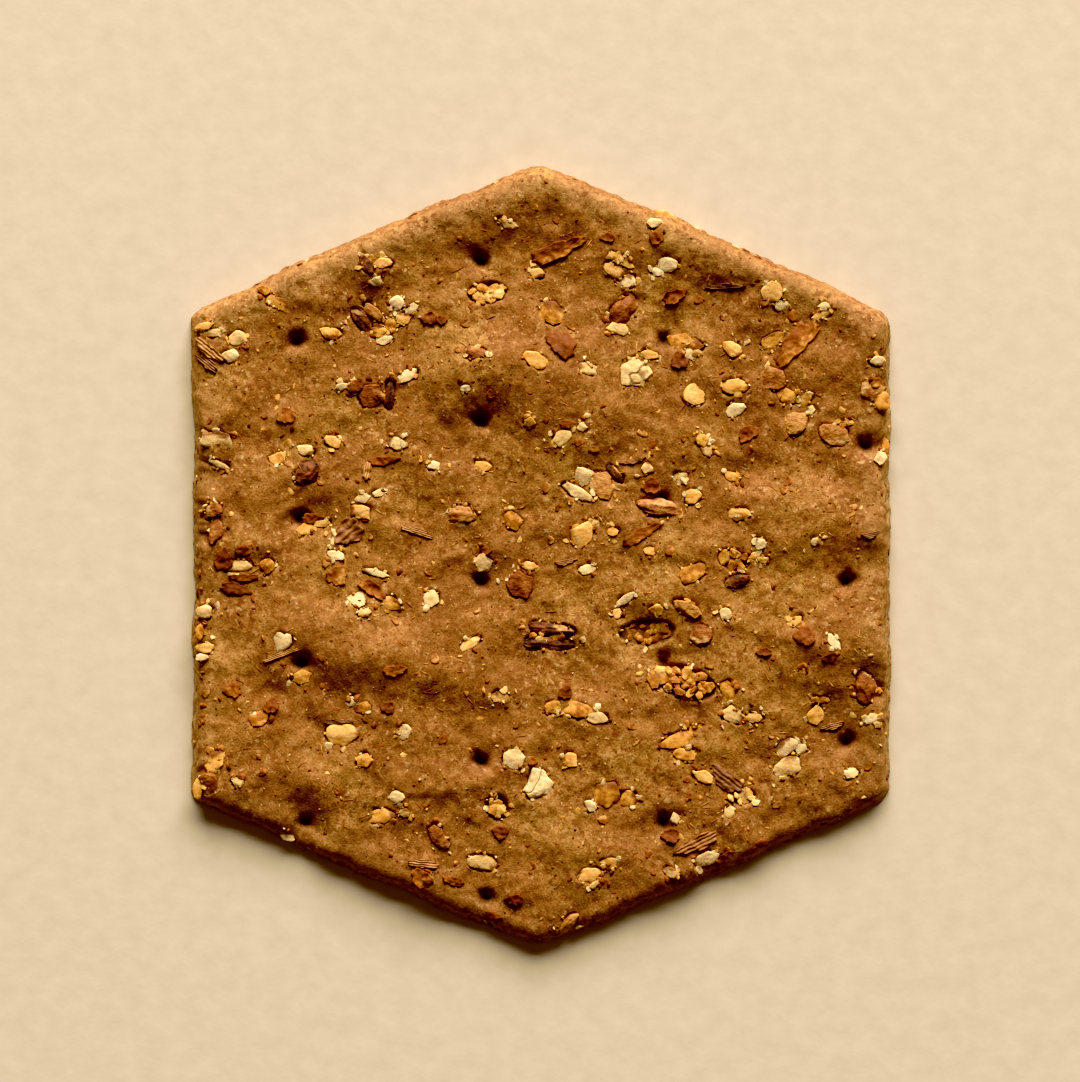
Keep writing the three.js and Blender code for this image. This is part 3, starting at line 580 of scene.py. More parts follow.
def wall_rows(edge):
    """Inset and height of each row of points, from the edge of the upper face down to the underside."""
    drop = shoulder_drop(edge)
    rows = []
    for row in range(1, SHOULDER_ROWS + 1):
        bend = row / SHOULDER_ROWS * math.pi / 2
        rows.append((TOP_INSET - SHOULDER * math.sin(bend), edge - drop * (1 - math.cos(bend))))
    for row in range(1, WALL_ROWS + 1):
        share = row / WALL_ROWS
        rows.append((FLARE * (1 - share), (edge - drop) * (1 - share) + FOOT_HEIGHT * share))
    rows.append((FOOT_INSET / 2, np.full(len(edge), FOOT_HEIGHT / 3)))
    rows.append((FOOT_INSET, np.zeros(len(edge))))
    return rows


def cut_row(angle, number, inset, height):
    """Points of one of those rows, roughened by the cutter, how much painted shade darkens each of them in
    the torn pits, and how pale each is, partly painted light.
    """
    along = angle * WIDTH / 2
    crumb = rough_field(along, height, CUT_CRUMB, 2, 5.3)
    rough = crumb + 0.6 * rough_field(along, height, CUT_TEAR, 2, 1.7)
    fade = soft_step(0, SHOULDER_ROWS, number)
    # Torn pits go deeper than the crumb between them stands out
    radius = outline_radius(angle, inset) + CUT_ROUGHNESS * fade * (0.5 - np.clip(0.6 + rough, 0, None))
    x, y = radius * np.cos(angle), radius * np.sin(angle)
    if number <= SHOULDER_ROWS:
        height = height + CUT_ROUGHNESS * fade * rough_field(x, y, 1.1, 2, 4.2)
    # Paleness of the rim and wall, partly rubbed and partly painted light, set side by side
    rubbed_and_lit, cut = blend_sides(x, y, RUBBED_AND_LIT_PALE), blend_sides(x, y, WALL_PALE)
    pale = rubbed_and_lit + (cut - rubbed_and_lit) * soft_step(2, SHOULDER_ROWS + 1, number)
    points = np.clip(np.stack([x, y, height], axis=1), CAD_LOW, CAD_HIGH)
    # Painted shade in the torn pits
    return points, CUT_PIT_PAINTED_SHADE * fade * np.clip(rough, 0, 1), np.clip(pale * (0.9 + 0.5 * rough), 0, 1)


def underside():
    """Points of the underside, dimpled by the tray, and how dark and how pale each of them is."""
    x, y = ring_points(UNDER_RINGS, FOOT_INSET + UNDER_INSET)
    dimpled = UNDER_DIMPLE + UNDER_DIMPLE * rough_field(x, y, 2.2, 3, 2.9)
    points = np.stack([x, y, np.clip(dimpled, 0, None)], axis=1)
    return points, np.zeros(len(x)), np.full(len(x), UNDER_PALE)


def hem_triangles(wall, inner):
    """Triangles from the wall's last row to the underside's outer ring, each step of which meets several
    of the wall's. Both rows are given by their first points."""
    ratio = TOP_RINGS // UNDER_RINGS
    coarse = np.arange(SECTORS * UNDER_RINGS)
    coarse_next = np.roll(coarse, -1)
    found = []
    for part in range(ratio):
        near = coarse if part < ratio / 2 else coarse_next
        fine = wall + coarse * ratio + part
        fine_next = wall + (coarse * ratio + part + 1) % (SECTORS * TOP_RINGS)
        found.append(np.stack([fine, inner + near, fine_next], axis=1))
    middle = wall + coarse * ratio + ratio // 2
    found.append(np.stack([middle, inner + coarse, inner + coarse_next], axis=1))
    return np.concatenate(found)


def make_dough(material, outlines):
    """The baked slab as one closed mesh: upper face, rounded shoulder, cut wall and underside."""
    layers = [upper_face(outlines)]
    triangles = [ring_triangles(TOP_RINGS, 0)]
    top = layers[0][0]
    row_length = SECTORS * TOP_RINGS
    angle = ring_angles(TOP_RINGS)
    above, below = len(top) - row_length, len(top)
    for number, (inset, height) in enumerate(wall_rows(top[-row_length:, 2]), 1):
        layers.append(cut_row(angle, number, inset, height))
        triangles.append(strip_triangles(above, below, row_length))
        above, below = below, below + row_length
    layers.append(underside())
    triangles.append(ring_triangles(UNDER_RINGS, below)[:, ::-1])
    triangles.append(hem_triangles(above, below + ring_start(UNDER_RINGS)))
    points, dark, pale = (np.concatenate(values) for values in zip(*layers))
    return mesh_piece("dough", points, np.concatenate(triangles), material, {"dark": dark, "pale": pale})


def make_ball(detail):
    """Directions and triangles of an evenly split ball."""
    made = bmesh.new()
    bmesh.ops.create_icosphere(made, subdivisions=detail, radius=1)
    directions = np.array([v.co for v in made.verts])
    triangles = np.array([[v.index for v in f.verts] for f in made.faces])
    made.free()
    return directions / np.linalg.norm(directions, axis=1)[:, None], triangles


BALL = make_ball(detail=4)


def roughen(points, size, share, layer):
    """Moves each point in or out by a share of its radius, in bumps of a size in the points' own units."""
    bumps = [noise.noise((x / size + layer, y / size, z / size)) for x, y, z in points]
    return points * (1 + share * np.array(bumps))[:, None]


def slanted(around, lean):
    """A direction, or a row of them, at an angle round Z and leaning up from level, in radians."""
    return np.stack([np.cos(around) * np.cos(lean), np.sin(around) * np.cos(lean), np.sin(lean)], axis=-1)


def shard_corners(draw):
    """Corners of a broken grain: a rough polygon, undercut below, with a nearly level top."""
    count = draw.integers(6, 9)
    around = TURN * (np.arange(count) + draw.uniform(-0.35, 0.35, count)) / count
    reach = draw.uniform(0.82, 1.0, count)
    rim = np.stack([reach * np.cos(around), reach * np.sin(around)], axis=1)
    upper = np.column_stack([rim * draw.uniform(0.86, 1.0, (count, 1)), draw.uniform(0.62, 0.95, count)])
    waist = np.column_stack([rim, draw.uniform(-0.3, 0.35, count)])
    lower = np.column_stack([0.7 * rim, np.full(count, -1.0)])
    cap = np.column_stack([draw.uniform(-0.5, 0.5, (2, 2)), draw.uniform(0.92, 1.0, 2)])
    return np.concatenate([upper, waist, lower, cap])


def broken_grain(draw, cuts, softened=False):
    """A grain broken along flat fractures: the hull of its corners, each face split by a number of cuts,
    and its edges rounded where worn. Skin is 1 on the side that still has the kernel's skin."""
    made = bmesh.new()
    for corner in shard_corners(draw):
        made.verts.new(corner)
    bmesh.ops.convex_hull(made, input=made.verts[:])
    bmesh.ops.delete(made, geom=[v for v in made.verts if not v.link_faces], context="VERTS")
    bmesh.ops.recalc_face_normals(made, faces=made.faces[:])
    bmesh.ops.subdivide_edges(made, edges=made.edges[:], cuts=cuts, use_grid_fill=True)
    bmesh.ops.triangulate(made, faces=made.faces[:])
    if softened:
        bmesh.ops.smooth_vert(
            made, verts=made.verts[:], factor=0.5, use_axis_x=True, use_axis_y=True, use_axis_z=True)
    made.verts.index_update()
    points = np.array([v.co for v in made.verts])
    triangles = np.array([[v.index for v in face.verts] for face in made.faces])
    made.free()
    layer = draw.uniform(0, NOISE_DEPTH)
    for size, share in GRAIN_ROUGHNESS:
        points = roughen(points, size, share, layer)
    points[:, :2] /= np.abs(points[:, :2]).max(axis=0)
    torn = TORN_EDGE * rough_field(points[:, 0], points[:, 1], 0.5, 2, layer)
    over = points @ slanted(draw.uniform(0, TURN), 0) - draw.uniform(0.2, 0.75)
    return points, triangles, soft_step(0, 0.2, over + torn)


def whole_kernel(draw, crease_depth):
    """A long oval, blunter at one end, with a crease near its upper side and lengthwise wrinkles.
    Two flat breaks took some of its skin off. Pit is 1 in the crease, which gets painted shade."""
    directions, triangles = BALL
    x, y, z = directions.T
    around = np.arctan2(y, z)
    crease = crease_depth * bell(around - draw.uniform(-0.3, 0.3), 0.22) * (1 - x**4)
    phase = draw.uniform(0, TURN, 2)
    wrinkle = 0.04 * np.sin(7 * around + 3 * x + phase[0]) + 0.025 * np.sin(13 * around - 5 * x + phase[1])
    girth = (1 - 0.14 * x) * (1 - 0.45 * crease + wrinkle * (1 - x**2))
    points = np.stack([x, y * girth, z * girth], axis=1)
    for size, share in KERNEL_ROUGHNESS:
        points = roughen(points, size, share, draw.uniform(0, NOISE_DEPTH))
    skin = np.ones(len(points))
    for facing in slanted(draw.uniform(0, TURN, 2), np.radians(draw.uniform(-10, 50, 2))):
        over = points @ facing - draw.uniform(0.78, 1.05)
        points = points - np.maximum(over, 0)[:, None] * facing
        skin = np.minimum(skin, 1 - soft_step(-0.03, 0.03, over))
    points[:, :2] /= np.abs(points[:, :2]).max(axis=0)
    return points, triangles, skin, crease


FLAKE_MESH = (7, 40)  # rings and spokes
BIT_MESH = (3, 16)
FLAKE_THICKNESS = 0.14
FLAKE_LIFT = 0.05  # a flake lies on the dough, and a bit of bran in it
BIT_LIFT = -0.13
FLAKE_RAGS = [(3, 0.12), (7, 0.09), (15, 0.06)]  # waves round a flake's edge, and their height
RIPPLE_SIZE = 0.9
RIPPLE_HEIGHT = 0.16
CURLS = (-0.1, 0.22)  # how far the long edges bend up, at the least and at the most
CURLED_WIDTH = 1.5  # a narrower flake bends less


def thin_flake(draw, length, width, rings, spokes):
    """A ragged, rippled sheet in mm, and how far across it each point is, from 0 to 1, for its veins."""
    angle = TURN * np.arange(spokes) / spokes
    rags = zip(FLAKE_RAGS, draw.uniform(0, TURN, len(FLAKE_RAGS)))
    ragged = sum((height * np.sin(waves * angle + phase) for (waves, height), phase in rags), 1)
    share = np.repeat(np.arange(1, rings + 1) / rings, spokes)
    u = np.append(0, share * np.tile(ragged * np.cos(angle), rings)) * length / 2
    v = np.append(0, share * np.tile(ragged * np.sin(angle), rings)) * width / 2
    ripple = RIPPLE_HEIGHT * rough_field(u, v, RIPPLE_SIZE, 2, draw.uniform(0, NOISE_DEPTH))
    curl = draw.uniform(*CURLS) * min(1, width / CURLED_WIDTH) ** 2 * (2 * v / width) ** 2
    upper = np.stack([u, v, FLAKE_THICKNESS + ripple + curl], axis=1)
    lower = upper - [0, 0, 2 * FLAKE_THICKNESS]

    spoke = np.arange(spokes)
    fan = np.stack([np.zeros_like(spoke), 1 + spoke, 1 + np.roll(spoke, -1)], axis=1)
    starts = 1 + spokes * np.arange(rings)
    bands = [strip_triangles(inner, inner + spokes, spokes) for inner in starts[:-1]]
    sheet = np.concatenate([fan, *bands])
    under = len(upper)
    hem = strip_triangles(starts[-1], under + starts[-1], spokes)
    across = v / width + 0.5
    triangles = np.concatenate([sheet, sheet[:, ::-1] + under, hem])
    return np.concatenate([upper, lower]), triangles, np.concatenate([across, across])


def turned(points, turn):
    cosine, sine = math.cos(math.radians(turn)), math.sin(math.radians(turn))
    x, y, z = points.T
    return np.stack([x * cosine - y * sine, x * sine + y * cosine, z], axis=1)


def tilted(points, draw, most):
    """Leans points by up to a few degrees about X and about Y."""
    lean_x, lean_y = np.radians(draw.uniform(-most, most, 2))
    x, y, z = points.T
    y, z = y * math.cos(lean_x) - z * math.sin(lean_x), y * math.sin(lean_x) + z * math.cos(lean_x)
    x, z = x * math.cos(lean_y) + z * math.sin(lean_y), z * math.cos(lean_y) - x * math.sin(lean_y)
    return np.stack([x, y, z], axis=1)


# A grain this near the edge lies level, and any other leans with the dough under it
EDGE_BAND = 1.8
LEAN_REACH = 0.7  # of a grain's own, where the slope of the dough is taken
LEAN_ANGLES = TURN * np.arange(8) / 8


def dough_height(x, y):
    return skin_height(x, y) + lumps(x, y)


def lay_grain(points, x, y, rise):
    """Sets a grain, in mm round the origin, in the upper face so that its top stands proud by a rise."""
    reach = LEAN_REACH * np.hypot(points[:, 0], points[:, 1]).max()
    ring = dough_height(x + reach * np.cos(LEAN_ANGLES), y + reach * np.sin(LEAN_ANGLES))
    if edge_distance(x, y) < EDGE_BAND:
        slope_x, slope_y, level = 0, 0, dough_height(np.array([x]), np.array([y]))[0]
    else:
        slope_x = 2 * np.mean(ring * np.cos(LEAN_ANGLES)) / reach
        slope_y = 2 * np.mean(ring * np.sin(LEAN_ANGLES)) / reach
        level = ring.mean()
    height = points[:, 2] - points[:, 2].max() + level + rise
    height = height + slope_x * points[:, 0] + slope_y * points[:, 1]
    height = height - max(0, height.max() - CAD_HIGH[2])
    return np.stack([points[:, 0] + x, points[:, 1] + y, height], axis=1)


def lay_flake(points, x, y, lift):
    """Drapes a thin sheet, in mm round the origin, over the upper face."""
    spot_x, spot_y = points[:, 0] + x, points[:, 1] + y
    height = points[:, 2] + dough_height(spot_x, spot_y) + lift
    return np.stack([spot_x, spot_y, height], axis=1)


class Pile:
    """Many grains of one kind, joined into one mesh."""

    def __init__(self):
        self.points, self.triangles = [], []
        self.values = {name: [] for name in GRAIN_VALUES}
        self.outlines = []
        self.size = 0

    def add(self, points, triangles, tone, skin=0.0, pit=0.0):
        self.points.append(points)
        self.triangles.append(triangles + self.size)
        for name, value in zip(GRAIN_VALUES, (tone, skin, pit)):
            self.values[name].append(np.broadcast_to(value, len(points)))
        self.size += len(points)

    def press_in(self, points, triangles, x, y, rise, shrunk=0.0, **values):
        """Adds a grain that has a pocket in the dough, shrunk being 1 where a gap goes all round it."""
        self.add(points, triangles, **values)
        self.outlines.append((x, y, outline_of(points, x, y, max(rise, LEAST_RISE)), shrunk))

    def piece(self, name, material, crease=180):
        values = {value: np.concatenate(numbers) for value, numbers in self.values.items()}
        points = np.clip(np.concatenate(self.points), CAD_LOW, CAD_HIGH)
        return mesh_piece(name, points, np.concatenate(self.triangles), material, values, crease)


def grain_thickness(width, least=THINNEST_CHIP):
    return float(np.clip(THICKNESS_SHARE * width, least, THICKEST_GRAIN))


def add_chips(pile, draw, rows, crack_depth):
    """Broken grains, nearly flush with the upper face, their flanks darker towards the bottom. The wide ones
    are cracked to a depth, which may be 0, with painted shade in the cracks."""
    for x, y, length, width, turn in rows:
        depth = crack_depth * (width >= CRACKED_WIDTH)
        cuts = CRACKED_CUTS if depth else PLAIN_CUTS
        points, triangles, skin = broken_grain(draw, cuts, draw.uniform() < WORN_SHARE)
        # The flanks darker towards the bottom
        low_flank_darkening = FLANK_DARKENING * (1 - soft_step(0, 0.65, points[:, 2]))
        points = points * [CHIP_SPREAD * length, CHIP_SPREAD * width, grain_thickness(width) / 2]
        layer = draw.uniform(0, NOISE_DEPTH)
        lobes = np.abs(rough_field(points[:, 0], points[:, 1], CRACK_SPACING, 2, layer))
        points[:, 2] -= depth * (1 - soft_step(0, CRACK_SLOPE, lobes)) * (points[:, 2] > 0)
        # Painted shade in the cracks, over the flanks' darkening
        pit = np.maximum(low_flank_darkening, CRACK_PAINTED_SHADE * (1 - soft_step(0.01, 0.08, lobes)) * (depth > 0))
        points = tilted(points, draw, CHIP_LEAN)
        at_edge = edge_distance(x, y) < EDGE_BAND
        rise = draw.uniform(*CHIP_RISES) + WIDTH_RISE * width + CRACK_RISE * depth + EDGE_LIFT * at_edge
        points = lay_grain(turned(points, turn), x, y, rise)
        bare = depth or at_edge
        skin = skin * (draw.uniform() < SKINNED_SHARE) * (not bare)
        pile.press_in(points, triangles, x, y, rise, tone=draw.uniform(0.1, 1), skin=skin, pit=pit)


def add_kernels(pile, draw):
    for x, y, length, width, turn, tone, crease_depth in KERNELS:
        points, triangles, skin, pit = whole_kernel(draw, crease_depth)
        skin = np.maximum(skin, crease_depth)
        thickness = grain_thickness(width, THINNEST_KERNEL)
        points = points * [KERNEL_SPREAD * length, KERNEL_SPREAD * width, thickness / 2]
        rise = KERNEL_RISE * thickness
        points = lay_grain(turned(tilted(points, draw, KERNEL_LEAN), turn), x, y, rise)
        pile.press_in(points, triangles, x, y, rise, tone=tone, skin=skin, pit=pit)


def oval_reach(length, width, turn):
    """How far an oval reaches from its middle, for each of the round of angles that a pocket takes."""
    angle = OUTLINE_ANGLES - math.radians(turn)
    return 0.5 / np.hypot(np.cos(angle) / length, np.sin(angle) / width)


def add_skinned(pile, draw):
    """Broken kernels that lie skin side up, with the pale heart showing along one side."""
    for x, y, length, width, turn, tone in SKINNED_GRAINS:
        points, triangles, bare = broken_grain(draw, PLAIN_CUTS, draw.uniform() < WORN_SHARE)
        points = points * [KERNEL_SPREAD * length, KERNEL_SPREAD * width, grain_thickness(width) / 2]
        points = tilted(points, draw, SKINNED_LEAN)
        rise = draw.uniform(*SKINNED_RISES)
        points = lay_grain(turned(points, turn), x, y, rise)
        pile.press_in(points, triangles, x, y, rise, tone=tone, skin=1 - bare)


def add_crumbled(pile, draw):
    """Each as an oval heap of small shards, close together in a pocket darkened with painted shade."""
    for x, y, length, width, turn, tone, rise in CRUMBLED:
        count = round(length * width / SHARD_AREA)
        for number in range(count):
            share = math.sqrt((number + 0.5) / count)
            angle = number * GOLDEN_ANGLE
            reach_x, reach_y = HEAP_SPREAD * length * share, HEAP_SPREAD * width * share
            spot = np.array([[reach_x * math.cos(angle), reach_y * math.sin(angle), 0]])
            shift_x, shift_y, _ = turned(spot, turn)[0] + draw.uniform(-0.15, 0.15, 3)
            points, triangles, skin = broken_grain(draw, SHARD_CUTS)
            size = draw.uniform(*SHARD_LENGTHS)
            points = points * [size / 2, size * draw.uniform(0.26, 0.42), SHARD_HALF_THICKNESS]
            points = tilted(points, draw, SHARD_LEAN)
            points = turned(points, turn + draw.uniform(-70, 70))
            points = lay_grain(points, x + shift_x, y + shift_y, rise + draw.uniform(-0.2, 0.1))
            pile.add(points, triangles, np.clip(tone + draw.uniform(-0.3, 0.3), 0, 1), skin=0.6 * skin)
        pile.outlines.append((x, y, oval_reach(length, width, turn), 1.0))


def add_flakes(pile, draw, rows, mesh, lift):
    for x, y, length, width, turn, tone in rows:
        points, triangles, across = thin_flake(draw, length, width, *mesh)
        pile.add(lay_flake(turned(points, turn), x, y, lift), triangles, tone, skin=across)


def is_clear(x, y):
    """Whether a crumb at a place is clear of the edge and of the holes."""
    clear = min(math.hypot(x - hole_x, y - hole_y) for hole_x, hole_y in HOLES)
    return edge_distance(x, y) > CRUMB_MARGIN and clear > 1.5 * HOLE_MOUTH_RADIUS


def scatter_spot(draw):
    """An evenly drawn place on the upper face."""
    while True:
        x = draw.uniform(-WIDTH / 2, WIDTH / 2)
        y = draw.uniform(-LENGTH / 2, LENGTH / 2)
        if is_clear(x, y):
            return x, y


def add_crumbs(amber, cream, bran, outlines):
    """Fine meal on the upper face, mostly bran, and the splinters that lie beside the grains."""
    draw = np.random.default_rng(CRUMB_SEED)
    shapes = [broken_grain(draw, 0) for _ in range(CRUMB_SHAPES)]
    for number in range(CRUMB_COUNT):
        x, y = scatter_spot(draw)
        length = 0.25 + 0.95 * draw.uniform() ** 3
        rise = draw.uniform(0.02, 0.1)
        kinds = (amber, bran, bran, bran)
        if number % 2:
            grain_x, grain_y, reach, _ = outlines[draw.integers(len(outlines))]
            step = draw.integers(OUTLINE_STEPS)
            angle = OUTLINE_ANGLES[step]
            away = reach[step] + draw.exponential(0.3)
            near_x, near_y = grain_x + away * math.cos(angle), grain_y + away * math.sin(angle)
            if is_clear(near_x, near_y):
                x, y = near_x, near_y
                length = 0.3 + 1.0 * draw.uniform() ** 2
                rise = draw.uniform(0.04, 0.2)
                kinds = (amber, cream, bran)
        width = length * draw.uniform(0.4, 0.9)
        pile = kinds[draw.integers(len(kinds))]
        points, triangles, skin = shapes[draw.integers(CRUMB_SHAPES)]
        points = tilted(points * [length / 2, width / 2, grain_thickness(width) / 2], draw, CRUMB_LEAN)
        points = lay_grain(turned(points, draw.uniform(0, 180)), x, y, rise)
        pile.add(points, triangles, draw.uniform(0.2, 1), skin=skin * (draw.uniform() < SKINNED_SHARE))


def bits_of_bran(draw):
    """Rows for small flakes, scattered evenly."""
    rows = []
    for _ in range(BRAN_BIT_COUNT):
        length = draw.uniform(*BRAN_BIT_LENGTHS)
        x, y = scatter_spot(draw)
        width = length * draw.uniform(0.5, 0.9)
        rows.append((x, y, length, width, draw.uniform(0, 180), draw.uniform(0.4, 1.0)))
    return rows


def add_slivers(pile):
    """Splinters of husk, as thin as hairs, flat on the upper face."""
    draw = np.random.default_rng(SLIVER_SEED)
    for _ in range(SLIVER_COUNT):
        x, y = scatter_spot(draw)
        points, triangles, skin = broken_grain(draw, 0)
        points = points * [draw.uniform(*SLIVER_HALF_LENGTHS), SLIVER_HALF_WIDTH, SLIVER_HALF_THICKNESS]
        points = lay_grain(turned(points, draw.uniform(0, 180)), x, y, SLIVER_RISE)
        pile.add(points, triangles, draw.uniform(0.5, 1), skin=0.5 * skin)


def add_wall_chips(piles, draw):
    """Grains that the cutter went through, flush in the wall."""
    for _ in range(WALL_CHIP_COUNT):
        angle = draw.uniform(0, TURN)
        share = draw.uniform(0.1, 0.9)
        radius = outline_radius(np.array([angle]), FLARE * share)[0] - WALL_CHIP_INSET
        x, y = radius * math.cos(angle), radius * math.sin(angle)
        side = np.argmin(SIDE_DISTANCE - FACING @ [x, y])
        points, triangles, skin = broken_grain(draw, SHARD_CUTS)
        length = draw.uniform(*WALL_CHIP_LENGTHS)
        points = points * [length / 2, length * draw.uniform(0.25, 0.4), WALL_CHIP_HALF_THICKNESS]
        points = turned(points, draw.uniform(-40, 40))
        wall = (1 - SHOULDER_SHARE) * (THICKNESS + EDGE_RISES[side] - FOOT_HEIGHT)
        height = FOOT_HEIGHT + share * wall + points[:, 1]
        flat = np.array([x, y]) + points[:, :1] * ALONG[side] + points[:, 2:] * FACING[side]
        pile = piles[draw.integers(len(piles))]
        pile.add(np.column_stack([flat, height]), triangles, draw.uniform(0, 0.4), skin=skin)


def add_under_chips(piles, draw):
    """Grains that baked against the tray, flush in the underside."""
    for _ in range(UNDER_CHIP_COUNT):
        x, y = scatter_spot(draw)
        points, triangles, skin = broken_grain(draw, SHARD_CUTS)
        length = draw.uniform(*UNDER_CHIP_LENGTHS)
        points = points * [length / 2, length * draw.uniform(0.2, 0.4), UNDER_CHIP_HALF_THICKNESS]
        points = turned(points, draw.uniform(0, 180)) + [x, y, UNDER_CHIP_HALF_THICKNESS]
        pile = piles[draw.integers(len(piles))]
        pile.add(points, triangles, draw.uniform(), skin=skin)


# Places of the node Mix's sockets when it mixes colours
FACTOR, COLOUR_A, COLOUR_B, COLOUR_OUT = 0, 6, 7, 2


def linear(colour):
    """A colour given as sRGB hex, as the linear numbers that a shader takes."""
    parts = [int(colour[place:place + 2], 16) / 255 for place in (1, 3, 5)]
    return tuple(c / 12.92 if c <= 0.04045 else ((c + 0.055) / 1.055) ** 2.4 for c in parts) + (1.0,)


def per_metre(size):
    """Scale of a pattern whose features are a size in mm."""
    return 1 / (size * MM)


def add(tree, kind, inputs=None, ramp=None, **settings):
    """Adds a node. Inputs gives sockets their numbers, colours or links, and ramp its colour stops."""
    made = tree.nodes.new(kind)
    for name, value in settings.items():
        setattr(made, name, value)
    if ramp:
        stops = made.color_ramp.elements
        stops.remove(stops[1])
        stops[0].position, stops[0].color = ramp[0][0], linear(ramp[0][1])
        for place, colour in ramp[1:]:
            stops.new(place).color = linear(colour)
    for socket, value in (inputs or {}).items():
        if isinstance(value, bpy.types.NodeSocket):
            tree.links.new(value, made.inputs[socket])
        else:
            made.inputs[socket].default_value = value
    return made


def new_surface(name):
    material = bpy.data.materials.new(name)
    material.use_nodes = True
    return material, material.node_tree, material.node_tree.nodes["Principled BSDF"]


def connect(tree, shader, colour, roughness, normal):
    tree.links.new(colour, shader.inputs["Base Color"])
    tree.links.new(roughness, shader.inputs["Roughness"])
    tree.links.new(normal, shader.inputs["Normal"])


def spots(tree, place, colour, speck, size, radius, share):
    """Scattered specks over a colour: cells of a size in mm, a share of them with a speck, whose radius
    is given in cells."""
    cells = add(tree, "ShaderNodeTexVoronoi", {"Vector": place, "Scale": per_metre(size)})
    disc = add(tree, "ShaderNodeMapRange", {
        "Value": cells.outputs["Distance"], "From Min": radius, "From Max": radius * 0.7, "To Max": 0.85})
    lot = add(tree, "ShaderNodeSeparateColor", {"Color": cells.outputs["Color"]})
    drawn = add(tree, "ShaderNodeMath", {0: lot.outputs["Red"], 1: share}, operation="LESS_THAN")
    mask = add(tree, "ShaderNodeMath", {0: disc.outputs[0], 1: drawn.outputs[0]}, operation="MULTIPLY")
    mixed = add(tree, "ShaderNodeMix", {
        FACTOR: mask.outputs[0], COLOUR_A: colour, COLOUR_B: linear(speck)}, data_type="RGBA")
    return mixed.outputs[COLOUR_OUT]


